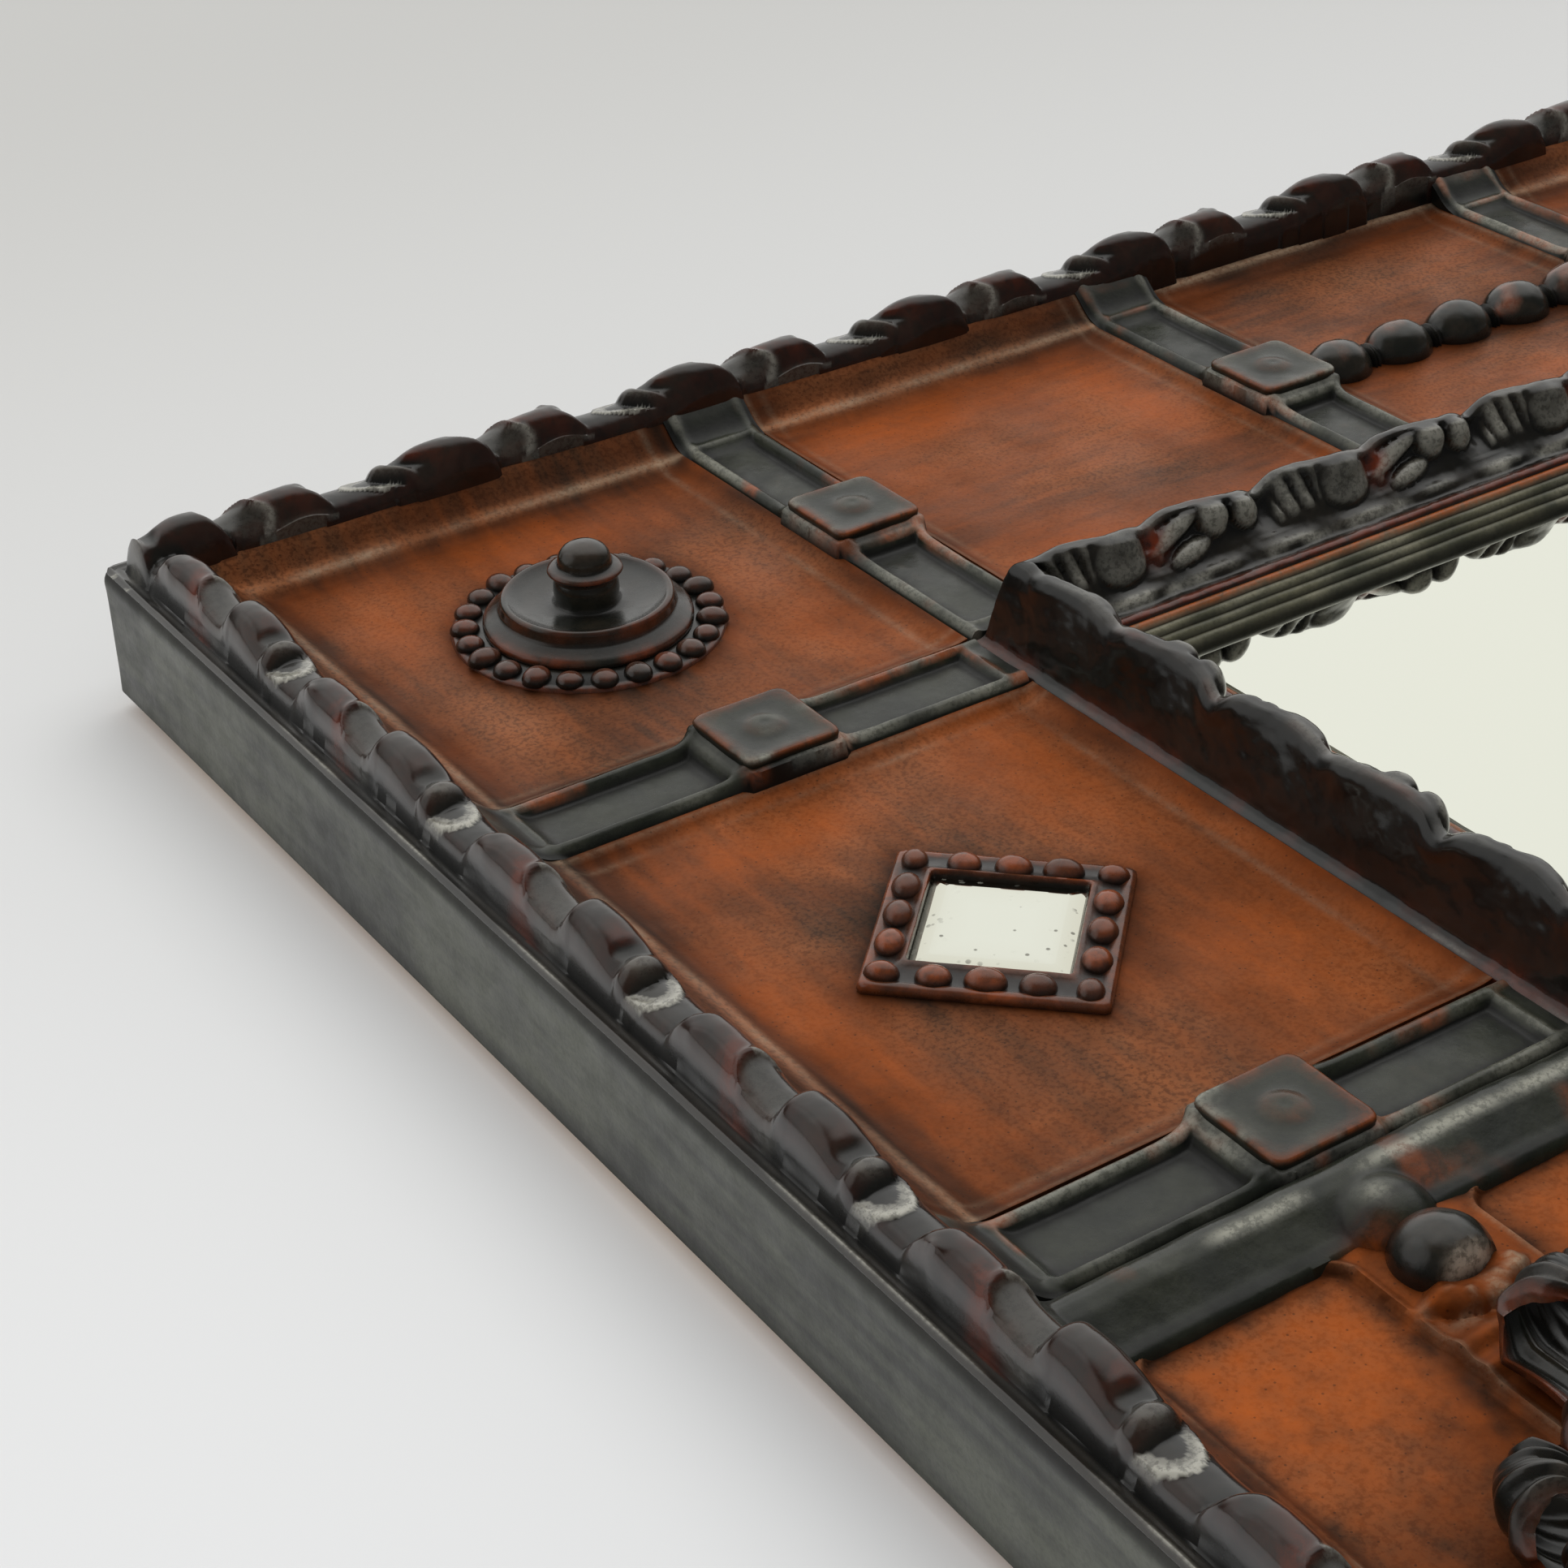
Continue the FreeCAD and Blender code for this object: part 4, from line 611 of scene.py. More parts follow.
def lobes(s, d, side):
    """Heights of a side's repeated lobes over their base, and their marks: silvery crescents with painted
    highlights, red, grey, and dark creases of painted shade.

    One beat is a loaf that runs down to a ball in a dished crescent, and then a ribbon. In it, p is
    the distance from the loaf's start and k the distance inward of the lobes' axis.
    """
    pitch, length = PITCH[side], LENGTHS[side]
    if side in TALL:
        places, shifts = zip(*HAND_SET)
        from_end = np.minimum(s, length - s) if side == "left" else s
        s = s - np.interp(from_end, places, shifts)
    else:
        s = s - SEAM_SLANT * smooth(17.0, 11.0, d) * smooth(8.0, 40.0, length - s)
    origin = length - LAST_LOAF[side]
    index = np.floor((s - origin) / pitch)
    p = (s - origin - index * pitch) / pitch * LOBE_BEAT
    k = d - LOBE_AXIS + 0.4 * noise(index * 7.3, index * 3.1, 1.0, 9, 1)
    half_loaf = 6.4 + 0.4 * bell(p, 14.0, 9.0) - 0.6 * smooth(24, 36, p)
    across_loaf = half_round((k - 0.1) / half_loaf, 2.4)
    loaf = line_height(p, LOAF_LINE) * blunt_start(p, 5.5, 2.2) * across_loaf * (p < 41)
    to_ball = np.hypot((p - 25.0) / 4.7, (k + 0.2) / 6.0)
    loaf = np.where(p < 44, loaf - np.maximum(loaf - 8.1, 0) * smooth(1.6, 0.7, to_ball), loaf)
    loaf = loaf - np.maximum(loaf - 4.4, 0) * smooth(26.5, 29.5, p + 0.1 * np.abs(k))
    ball = 9.4 * np.sqrt(np.clip(1 - 0.78 * to_ball ** 2, 0, 1)) * (to_ball < 1.0)
    dish = np.hypot((p - 25.4) / 11.8, (k + 0.7) / 6.0)
    on_dish = smooth(25.5, 27.0, p) * smooth(1.07, 1.0, dish)
    crescent = (4.6 + 1.7 * smooth(0.4, 1.0, dish)) * on_dish * half_round(k / 8.0, 2.2)
    neck = 5.9 * half_round((k + 0.3) / 6.2, 2.3) * (p > 24) * (p < 52)
    body = np.maximum.reduce([loaf, ball, crescent * (to_ball > 0.97)])
    body = smax(body, neck, 0.5) * (body + neck > 0.02)
    here = ribbon(p, k)
    before = ribbon(p + LOBE_BEAT, k)
    early = p < 20.0
    fade = smooth(9.0, 6.0, p)
    tail = np.where(early, before[0] * fade, here[0])
    reach = np.where(early, before[1] + 9 * (1 - fade), here[1])
    rim = np.where(early, before[2] * fade, here[2])
    along = np.where(early, before[3], here[3])
    across = np.where(early, before[4], here[4])
    lip = 5.2 * bell(p, 58.0, 13.0) * smooth(5.7, 5.1, k) * (k > 0)
    height = np.maximum.reduce([body, tail, lip])
    bump_size = 1.2 + 1.2 * (index % 3 == 1)
    height = height + bump_size * bell(p, 51.0, 2.8) * bell(k, -5.9, 1.9)
    on_tail = tail > body
    on_crescent = on_dish * (crescent > height - 0.5) * (to_ball > 1.03)
    silver_and_glint = on_crescent * smooth(1.0, 1.1, to_ball) * smooth(5.2, 4.3, np.abs(k + 0.8))
    silver_and_glint = silver_and_glint * (0.45 + 0.45 * smooth(0.72, 0.95, dish))
    # Painted highlight on the top of the ball.
    silver_and_glint = np.maximum(silver_and_glint, 0.15 * bell(to_ball, 0.25, 0.3) * (to_ball < 1) * (ball > loaf))
    # Painted sheen along the crest of the lip on the inner side.
    silver_and_glint = np.maximum(silver_and_glint, 0.12 * (lip >= height - 0.3) * smooth(4.6, 5.1, k) * (lip > 2.0))
    # Painted highlight along the near rim of the thumbnail hollow.
    silver_and_glint = np.maximum(silver_and_glint, 0.35 * rim * (along < -6.0) * (across > 0) * on_tail)
    red = 0.3 * bell(p, 17.0, 4.0) * bell(k, 0.5, 3.0) * smooth(1.1, 1.4, to_ball)
    red = red * (0.4 + 0.6 * (index % 2))
    glow = 0.5 * bell(reach, 1.26, 0.26) * smooth(3.0, -3.0, across) * smooth(5.0, -4.0, along)
    red = red + (0.95 * glow + 0.25 * bell(p, 56.0, 4.0) * bell(k, 1.0, 3.0)) * on_tail
    grey = smooth(1.02, 0.88, reach) * on_tail
    # Painted shade in the crease round the ball and where loaf and ribbon meet.
    seam_shade = 0.6 * smooth(0, 1, dish - 1.05) * (p > 36) + 0.5 * bell(p, 0.0, 1.6)
    dark = 0.5 * bell(to_ball, 0.98, 0.05) * (p > 25) * (p < 33) + seam_shade * (body > tail)
    return height, silver_and_glint, red, grey, dark


def border(side):
    """Run of lobes over a narrow ledge, joined to its neighbours at the corners."""
    length = LENGTHS[side]
    fine = FINE[side] is not None
    s = corner_steps(length, 0.55, 1.1, FINE[side])
    d = np.arange(1.0, 23.01, 0.45 if fine else 0.8)
    d[-1] = 23.0
    u, inset = np.meshgrid(s, d)
    along, across = bend_corner(u, inset, length)
    before = SIDES[SIDES.index(side) - 1]
    after = SIDES[(SIDES.index(side) + 1) % 4]
    ground = 32.35 + 0.35 * bell(across, 2.4, 0.5) - 0.3 * smooth(4.5, 5.5, across)
    lowest = np.minimum(line_height(across + 2.5, CLIMB), line_height(across, DEEP_CLIMB))
    under_sheet = SHEET + lowest - 1.6
    ground = np.where(across > 13.0, np.minimum(ground, under_sheet), ground)
    marks = lobes(along, across, side)
    for at_corner, others in ((along < 34.0, lobes(LENGTHS[before] - across, along, before)),
                              (length - along < 32.0, lobes(across, length - along, after))):
        swap = at_corner & (others[0] > marks[0])
        marks = [np.where(swap, a, b) for a, b in zip(others, marks)]
    height, silver_and_glint, red, grey, dark = marks
    fade = smooth(5.2, 6.8, across) * smooth(20.6, 19.4, across)
    height = np.maximum(height * fade, 0.0)
    dents = (0.2 * noise(along, across, 7.0, 31) + 0.03 * noise(along, across, 2.0, 33)) * fade
    risen = smooth(0.0, 0.9, height)
    total = ground + (LOBE_BASE + height - ground) * risen + dents
    off_edge = smooth(0.4, 1.4, across)
    total = total * off_edge + 32.2 * (1 - off_edge)
    # Darkening in the hollows, dirt and painted shade; deep adds painted shade in the gap between ledge and
    # lobes, and dark that of the creases.
    grime_and_shade, wear = edge_paint(total, 3 if fine else 2, 0.8, 1.1)
    deep, _ = edge_paint(total, 8 if fine else 5, 2.0, 1.0)
    grime_and_shade = np.clip(0.6 * grime_and_shade + 0.7 * deep + dark, 0, 1) * (1 - grey * 0.8)
    grime_and_shade = grime_and_shade * smooth(4.2, 5.4, across) + 0.12
    # Pale broken line on the bead along the wall's top edge: a painted highlight.
    line = 0.6 * bell(across, 2.4, 0.35) * smooth(-0.1, 0.5, noise(along, across * 0, 26.0, 21, 3))
    ledge = smooth(5.6, 4.6, across)
    paint = channels(np.clip(grime_and_shade * (1 - silver_and_glint), 0, 1), np.clip(red + wear * 0.1, 0, 1) * (1 - silver_and_glint),
                     np.clip(np.maximum(silver_and_glint, line) + 0.05 * grey, 0, 1),
                     0.42 + 0.25 * grey + 0.3 * ledge + 0.15 * noise(along, across, 14.0, 77))
    piece("border_relief_" + side, [slab(side, along, across, total, paint)], "dark_moulding",
          "border_" + side)


# Sheet panels.
# Inset at which the sheets begin, hidden under the lobes, and the coves along their other edges.
SHEET_START = 14.2
WALL_COVE = ((0, 3.4), (1.2, 2.9), (4.5, 1.4), (6.5, 0.9), (8.0, 0.8), (13.0, 0.2), (19.0, 0.0))
END_COVE = ((0, 2.9), (1.0, 2.6), (3.6, 1.1), (5.2, 0.7), (6.5, 0.6), (11.0, 0.15), (16.0, 0.0))


def sheet_grid(start, stop, step):
    """Places along a side from start to stop and across the whole band, about a step apart."""
    s = np.linspace(start, stop, int((stop - start) / step) + 1)
    d = np.linspace(SHEET_START, PANEL_END, int((PANEL_END - SHEET_START) / step) + 1)
    return np.meshgrid(s, d)


def panel(name, node, side, start, length, seed, glows, around=None, deep=False, corner=False):
    """Dished sheet panel climbing to the border, with coves along the inner moulding and straps.

    glows lists its orange brushed places as (s, d, reach along, reach across, strength), and around
    gives the distance from what stands on it, round which the panel gets painted shade.
    """
    along, across = sheet_grid(SHEET_START if corner else start, start + length, 0.8)
    waver = 0.7 * noise(along, across, 40.0, seed + 2) + 0.25 * noise(along, across, 9.0, seed + 4)
    inner = PANEL_END - across
    line = DEEP_CLIMB if deep else CLIMB
    lip = 18.9 if deep else 26.8
    wavy = across + 0.5 * waver * smooth(18.0, 22.0, across)
    rim = line_height(wavy, line)
    outer = wavy
    if corner:
        beside = along + 0.5 * waver * smooth(18.0, 22.0, along)
        rim = smax(rim, line_height(beside, line), 0.8) - 0.2
        outer = np.minimum(wavy, beside)
        ends = start + length - along
    else:
        ends = np.minimum(along - start, start + length - along)
    for edge, share, line in ((inner, 1.0, WALL_COVE), (ends, 0.6, END_COVE)):
        rim = smax(rim, line_height(edge + share * waver * smooth(0, 4, edge), line, 0.45), 1.0)
    rim = rim - 0.2
    height = SHEET + np.maximum(rim, 0) + 0.22 * noise(along, across, 45.0, seed)
    height = height + 0.05 * noise(along, across, 8.0, seed + 3)
    edge = np.minimum(inner, ends)
    # Painted shade along the inner moulding and the straps' ends, where the panel meets them.
    grime_and_shade = 0.8 * np.exp(-edge / 2.2) + 0.65 * np.exp(-edge / 14.0)
    # Patches of dirt.
    grime_and_shade = grime_and_shade + 0.3 * smooth(0.05, 0.6, noise(along, across, 38.0, seed + 9, 4))
    # Painted shade in the cove inside the lip and on the climb to the border, darker on the bead panels.
    grime_and_shade = grime_and_shade + 0.85 * bell(outer, lip + 4.2, 3.2) + 0.45 * bell(outer, lip + 9.0, 8.0)
    grime_and_shade = grime_and_shade + 0.6 * smooth(lip - 1.5, lip - 3.5, outer)
    if deep:
        grime_and_shade = grime_and_shade + 0.95 * smooth(lip + 4.0, lip - 0.5, outer)
        grime_and_shade = grime_and_shade + 0.5 * np.exp(-np.abs(outer - lip) / 6.0)
    # Painted shade round what stands on the panel.
    if around is not None:
        spread = np.maximum(around(along, across), 0)
        grime_and_shade = grime_and_shade + 0.75 * np.exp(-spread / 3.0) + 0.38 * np.exp(-spread / 13.0)
    grime_and_shade = grime_and_shade * (0.85 + 0.3 * noise(along, across, 18.0, seed + 6))
    glow = sum(power * bell(along, s, reach) * bell(across, d, width)
               for s, d, reach, width, power in glows)
    warm = 0.32 + 0.45 * noise(along, across, 60.0, seed + 5, 4) + glow
    warm = warm * (0.35 + 0.65 * smooth(lip, lip + 8.0, outer))
    streaks = noise(along * 0.35, across * 2.2, 6.0, seed + 7, 3)
    # Pale lines on the lip and along the coves' ridges: painted highlights.
    ridge_highlights = (1.3 if deep else 0.75) * bell(outer, lip, 1.3)
    ridge_highlights = ridge_highlights + 0.3 * bell(ends, 5.6, 0.9) + 0.3 * bell(inner, 7.0, 1.0)
    ridge_highlights = ridge_highlights * (0.5 + 0.6 * noise(along, across, 12.0, seed + 8)) + 0.3 * bell(ends, 1.0, 0.6)
    # Less painted shade on the lip, under its highlight.
    grime_and_shade = grime_and_shade * (1 - 0.8 * bell(outer, lip, 1.2))
    paint = channels(np.clip(grime_and_shade, 0, 1), np.clip(warm + 0.16 * streaks, 0, 1), np.clip(ridge_highlights, 0, 1),
                     0.5 + 0.4 * noise(along, across, 34.0, seed + 11, 4) + 0.2 * streaks)
    piece(name, [slab(side, along, across, height, paint)], "copper_panel", node)


# Bead panels.
def bead_rod(side):
    """Five long beads with pinched necks and small rings between them, on a slim rod."""
    middle, half_run, pitch = HALF_WIDTH, 55.0, 22.04
    s = np.linspace(middle - half_run, middle + half_run, 331)
    angles = np.linspace(-0.12, math.pi + 0.12, 41)
    from_bead = (s - middle + pitch / 2) % pitch - pitch / 2
    bead = 8.6 * half_round(from_bead / 10.3, 2.0)
    ring = 4.9 * half_round((np.abs(from_bead) - 10.4) / 0.8, 2.0)
    radius = np.maximum.reduce([bead, ring, np.full(s.shape, 3.6)])
    along, turn = np.meshgrid(s, angles)
    r = np.repeat(radius[None, :], len(angles), axis=0)
    r = r * (1 + 0.03 * noise(along, turn * 8, 6.0, 3))
    across = BAND_MIDDLE - r * np.cos(turn)
    level = SHEET + r * np.sin(turn) * 1.02
    crease = np.minimum(np.abs(np.abs(from_bead) - 9.6), 9)[None, :] + 0 * turn
    # Painted shade in the creases between beads and low down next to the sheet.
    grime_and_shade = np.clip(np.exp(-crease) + 0.8 * smooth(4.0, 0.0, level - SHEET), 0, 1)
    wear = 0.6 * smooth(0.0, 0.6, noise(along, turn * 8, 9.0, 5)) * smooth(0.2, 0.9, np.sin(turn))
    paint = channels(grime_and_shade, wear, 0.25 * wear, 0.45 + 0.4 * noise(along, turn * 8, 11.0, 7))
    piece("bead_row_" + side, [slab(side, along, across, level, paint, BOARD + 0.4)], "boss_metal",
          "bead_rod_" + side, 55.0)


# Ornament panels.
# The ornament panels lie about the middle of the tall sides; q is the distance from there.
CENTRE = HALF_HEIGHT


def box_distance(x, y, low, high, corner):
    """Distance outside a rounded rectangle, negative within it."""
    dx = np.abs(x - (low[0] + high[0]) / 2) - (high[0] - low[0]) / 2 + corner
    dy = np.abs(y - (low[1] + high[1]) / 2) - (high[1] - low[1]) / 2 + corner
    return np.hypot(np.maximum(dx, 0), np.maximum(dy, 0)) + np.minimum(np.maximum(dx, dy), 0) - corner


BALL_PLACE, STEM_MIDDLE = 90.0, 85.0


def ornament_sheet(side):
    """Panel behind the leaf ornament: sunk fields, a raised stem to each end and crumpled folds."""
    start, length = 342.6, 238.8
    along, across = sheet_grid(start, start + length, 0.6 if side == "right" else 1.0)
    q = np.abs(along - CENTRE)
    waver = 0.5 * noise(along, across, 20.0, 201) + 0.2 * noise(along, across, 5.0, 203)
    one = box_distance(along, across, (CENTRE - 100.5, 26.5), (CENTRE + 100.5, 71.0), 5.0)
    two = box_distance(along, across, (CENTRE - 100.5, 101.0), (CENTRE + 100.5, 145.5), 5.0)
    out = np.minimum(one, two) + waver * 0.5
    height = BOARD + 1.3 + 1.7 * smooth(-0.7, 0.8, out) + 0.55 * bell(out, 1.1, 0.7)
    height = height + 1.3 * bell(across, 86.0, 12.0) * smooth(0.5, 4.0, out) * (q < 104)
    height = height + 0.25 * noise(along, across, 30.0, 205) - 0.5 * bell(across, 86, 9.0) * (q < 97)
    on_stem = smooth(102, 99, q) * smooth(69.5, 73, across) * smooth(102.5, 99, across)
    # Folds past the cut ball are arcs about its centre.
    x, y = BALL_PLACE - q, across - STEM_MIDDLE
    radial, angle = np.hypot(x, y), np.arctan2(y, x)
    fold = smooth(1.15, 0.8, np.abs(angle)) * (x > 4)
    crumple = noise(along, across, 4.5, 207, 4)
    height = height + fold * 3.4 * half_round((radial - 11.0 - 0.8 * crumple) / 3.6, 2.0)
    height = height + fold * 1.3 * np.clip(crumple, -0.3, 1) * bell(radial, 11.0, 4.0)
    ripple = 1.6 * bell(q, 72.0, 2.6) + 1.1 * bell(q, 66.0, 2.2)
    height = height + ripple * smooth(20.0, 12.0, np.abs(across - 86.0))
    height = smax(height, SHEET + line_height(across + 2.5, CLIMB), 0.8)
    inside = np.clip(-out, 0, 60)
    # Painted shade along the walls inside the sunk fields.
    grime_and_shade = 0.75 * np.exp(-inside / 2.0) * (out < 0.2) + 0.5 * np.exp(-inside / 11.0)
    # Painted shadow beneath the leaf ornament; the raised parts round the fields are darker, less so on the
    # stems.
    under = np.hypot(along - CENTRE, across - BAND_MIDDLE)
    grime_and_shade = grime_and_shade + 0.75 * smooth(86, 60, under) + 0.55 * smooth(0.5, 2.0, out) * (1 - 0.45 * on_stem)
    warm = 0.5 * bell(q, 82, 22) * smooth(0.0, -8.0, out) + 0.3 * on_stem + 0.2
    streaks = noise(along * 2.2 + across * 0.8, across * 2.2 - along * 0.6, 9.0, 211, 3)
    # Pale broken line along the fields' rims: a painted highlight.
    ridge_highlights = 0.6 * bell(out, 1.0, 0.7) * smooth(-0.3, 0.5, noise(along, across, 14.0, 213))
    silver_and_glint = 0.9 * fold * bell(radial, 12.0, 4.2) * smooth(-0.3, 0.35, crumple)
    paint = channels(np.clip(grime_and_shade, 0, 1) * (1 - 0.7 * silver_and_glint), np.clip(warm + 0.25 * streaks, 0, 1),
                     np.clip(np.maximum(ridge_highlights, silver_and_glint), 0, 1), 0.5 + 0.35 * streaks)
    piece("ornament_sheet_" + side, [slab(side, along, across, height, paint)], "copper_panel",
          "ornament_panel_" + side)


BAR_PLACES = (100.4, 101.0, 102.0, 104.0, 107.0, 110.5, 113.0, 115.5, 117.5, 118.8, 119.4)
BAR_LEVELS = (1.6, 2.6, 3.0, 3.6, 5.2, 7.2, 7.8, 7.3, 5.8, 3.8, 2.2)


def ornament_bars(side):
    """A smooth bar across each end of the ornament panel, with a domed node on its stem side."""
    step = 0.7 if side == "right" else 1.2
    shapes = []
    for sign in (-1, 1):
        along, across = sheet_grid(*sorted((CENTRE + sign * 119.2, CENTRE + sign * 88.5)), step)
        q = np.abs(along - CENTRE)
        waver = 0.5 * noise(along, across, 22.0, 221 + sign)
        bar = np.interp(q + waver, BAR_PLACES, BAR_LEVELS)
        node = 9.4 * half_round(np.hypot(q - 103.6, across - STEM_MIDDLE) / 9.8, 2.0)
        tall = smax(bar, node, 2.0)
        tall = tall + 0.3 * noise(along, across, 7.0, 223) * (tall > 1.0)
        tall = np.where((q > 100.6) | (node > 2.2), tall, -1.0)
        height = BOARD + 1.3 + np.maximum(tall, -0.9)
        climb = SHEET + line_height(across + 2.5, CLIMB)
        climb = climb + 0.35 * np.maximum(tall, 0) - 0.8 * (tall < 0)
        height = np.where(across < 26.0, np.maximum(height, climb), height)
        grime_and_shade, _ = edge_paint(height, 3, 0.9, 0.8)
        # A line of painted shade at the bar's foot.
        grime_and_shade = np.clip(grime_and_shade + 0.7 * bell(q, 102.4, 1.0), 0, 1)
        patch = bell(np.hypot(q - 96.5, across - 76.0), 0.0, 4.0)
        rust = 0.9 * patch + 0.5 * smooth(0.25, 0.7, noise(along, across, 12.0, 225))
        # Painted highlight streak along the bar's crest, and a painted highlight spot on the node's dome.
        bright = 0.7 * smooth(-0.3, 0.5, noise(along, across, 16.0, 227, 4)) * bell(q + waver, 112.0, 1.3)
        bright = bright + 0.4 * bell(np.hypot(q - 104.6, across - 83.0), 0.0, 2.2)
        paint = channels(grime_and_shade * (1 - patch), np.clip(rust, 0, 1), bright,
                         0.45 + 0.4 * noise(along, across, 16.0, 229))
        shapes.append(slab(side, along, across, height, paint, BOARD + 0.1))
    piece("ornament_bars_" + side, shapes, "strap_tin", "ornament_panel_" + side)


def cut_balls(side):
    """A ball on each stem, cut across by a bright crease on its ornament side."""
    shapes = []
    rings = [(0.0, 0.0, 27.0), (9.4, 9.4, 27.0)]
    rings += [(9.4 * math.cos(a), 9.4 * math.cos(a), 28.2 + 8.4 * math.sin(a))
              for a in np.linspace(0, math.pi / 2, 15)]
    for sign in (-1, 1):
        p, q = loft(rings)
        x = p[:, 0] * -sign
        over = np.clip(x - 5.6, 0, None)
        p[:, 2] -= (over > 0) * np.minimum(1.4 + over * 1.2, p[:, 2] - 27.0) * 0.85
        p[:, 0] = -sign * (np.minimum(x, 5.6) + over * 0.75)
        p[:, 2] += 0.25 * noise(p[:, 0], p[:, 1], 5.0, 231)
        high = smooth(28.0, 37.0, p[:, 2])
        crease = bell(x, 6.2, 1.1)
        # Painted shade over the ball's lower part.
        c = channels(0.9 * (1 - high) * (1 - crease),
                     0.35 * high * smooth(0, 0.6, noise(p[:, 0], p[:, 1], 6.0, 5)),
                     0.9 * crease * smooth(-7.0, -2.0, -np.abs(p[:, 1])), 0.5)
        shapes.append((local_to_side(p, side, CENTRE + sign * BALL_PLACE, STEM_MIDDLE, 0.0), q, c))
    piece("ornament_balls_" + side, shapes, "boss_metal", "ornament_panel_" + side, 45.0)


def through(points, count):
    """Even samples of a smooth curve through control points (rows of numbers)."""
    p = np.array(points, float)
    p = np.concatenate([2 * p[:1] - p[1:2], p, 2 * p[-1:] - p[-2:-1]])
    u = np.linspace(0, len(points) - 1 - 1e-6, count)
    k = u.astype(int)
    w = (u - k)[:, None]
    a, b, c, e = p[k], p[k + 1], p[k + 2], p[k + 3]
    return 0.5 * (2 * b + (c - a) * w + (2 * a - 5 * b + 4 * c - e) * w ** 2
                  + (3 * b - a - 3 * c + e) * w ** 3)


# Leaf from its root to its rolled tip: distance from the centre, height, half width.
LEAF = ((10.0, 7.0, 5.5), (22.0, 5.4, 9.0), (36.0, 3.8, 13.0), (49.0, 3.2, 15.5), (59.5, 4.0, 15.8),
        (66.0, 7.6, 13.8), (67.4, 12.4, 11.0), (64.2, 16.0, 8.2), (59.2, 16.4, 5.4), (56.2, 13.6, 2.6))


def leaf(turn, reach, width, lift, roll, seed, fine):
    """Closed points, faces and paint of one ribbed leaf whose tip rolls up and back."""
    rows, columns = (64, 37) if fine else (40, 25)
    line = through([(a * reach, b * roll, c * width) for a, b, c in LEAF], rows)
    rho, z, half = line.T
    slope_r, slope_z = np.gradient(rho), np.gradient(z)
    size = np.hypot(slope_r, slope_z)
    v = np.linspace(-1, 1, columns)[None, :]
    t = np.linspace(0, 1, rows)[:, None]
    scallop = 1 - 0.13 * np.abs(np.sin(t * math.pi * 5.2 + seed)) * smooth(0.1, 0.25, t)
    y = half[:, None] * v * (0.9 + 0.1 * scallop) * scallop
    cup = 3.4 * roll * np.abs(v) ** 2.2 * np.sin(np.clip(t * 1.05, 0, 1) * math.pi) ** 0.5
    ribs = 0.75 * np.cos(v * math.pi * 4.0 + 0.8 * np.sin(t * 9 + seed)) * smooth(0.0, 0.2, t)
    vein = -1.2 * np.exp(-(v / 0.09) ** 2)
    offset = cup + ribs + vein + 0.8 * noise(t * 40 + seed * 9, v * 12, 8.0, seed)
    shapes = []
    for under in (0.0, 1.5):
        r = rho[:, None] - (slope_z / size)[:, None] * (offset - under)
        h = z[:, None] + (slope_r / size)[:, None] * (offset - under) + lift
        x = r * math.cos(turn) - y * math.sin(turn)
        w = r * math.sin(turn) + y * math.cos(turn)
        shapes.append(np.stack([x, w, h + 0 * x], axis=-1).reshape(-1, 3))
    edge = smooth(0.72, 1.0, np.abs(v)) * (0.5 + 0.6 * noise(t * 40, v * 9 + seed, 9.0, seed + 3))
    rolled = smooth(0.62, 0.8, t) * smooth(0.0, 0.6, noise(t * 40, v * 12, 10.0, seed + 5))
    # Darker in the rib valleys and along the vein, dirt and painted shade.
    grime_and_shade = np.clip(0.55 * (1 - (ribs + 0.75) / 1.5) + 0.7 * np.exp(-(v / 0.12) ** 2), 0, 1)
    first = channels(grime_and_shade, np.clip(edge, 0, 1), 0.3 * rolled,
                     0.4 + 0.35 * noise(t * 40, v * 12, 12.0, seed + 7)).reshape(-1, 4)
    # The underside is darker all over: painted shade.
    second = channels(0.55, np.clip(edge * 0.8, 0, 1), 0.12 * rolled, 0.35).reshape(-1, 4)
    return np.concatenate(shapes), shell(rows, columns)[:, ::-1], np.concatenate([first, second])


def rosette(side):
    """Leaf ornament: three rings of curled leaves round a beaded button."""
    fine = side == "right"
    shapes = []

    def put(p, q, c):
        shapes.append((local_to_side(p, side, CENTRE, BAND_MIDDLE, SHEET), q, c))

    for k in range(8):
        put(*leaf(k * math.pi / 4, (1.04, 0.80, 0.86, 0.80)[k % 4], 1.0, 0.0, 1.0, k + 1, fine))
    for k in range(8):
        put(*leaf((k + 0.5) * math.pi / 4, 0.70, 0.66, 3.4, 0.80, k + 21, fine))
    for k in range(6):
        put(*leaf((k + 0.25) * math.pi / 3, 0.40, 0.46, 7.5, 0.55, k + 41, fine))
    button = [(0.0, 2.0), (9.5, 2.0), (9.8, 9.0), (9.2, 10.2), (8.0, 10.6), (7.2, 10.4)]
    button += [(6.6 * math.cos(a), 10.4 + 5.6 * math.sin(a)) for a in np.linspace(0.05, 1.5707, 10)]
    p, q = loft([(radius, radius, level) for radius, level in button], 48)
    put(p, q, flat_paint(p, 0.2, 0.35, 0.15, 9))
    for k in range(10):
        p, q = half_ball(2.5, 2.7, 7, 16)
        a = k * math.pi / 5
        p = p + np.array([11.6 * math.cos(a), 11.6 * math.sin(a), 9.0])
        put(p, q, flat_paint(p, 0.3, 0.3, 0.1, k))
    piece("leaf_ornament_" + side, shapes, "boss_metal", "centre_ornament_" + side, 70.0)


# Straps and clasps.
# A strap widens by this much on each side where it meets its clasp.
BESIDE_CLASP = 1.3


def strap_starts(side):
    """Where the four straps of a side start along it."""
    first, second = TALL_STRAPS if side in TALL else WIDE_STRAPS
    end = LENGTHS[side] - STRAP
    return first, second, end - second, end - first


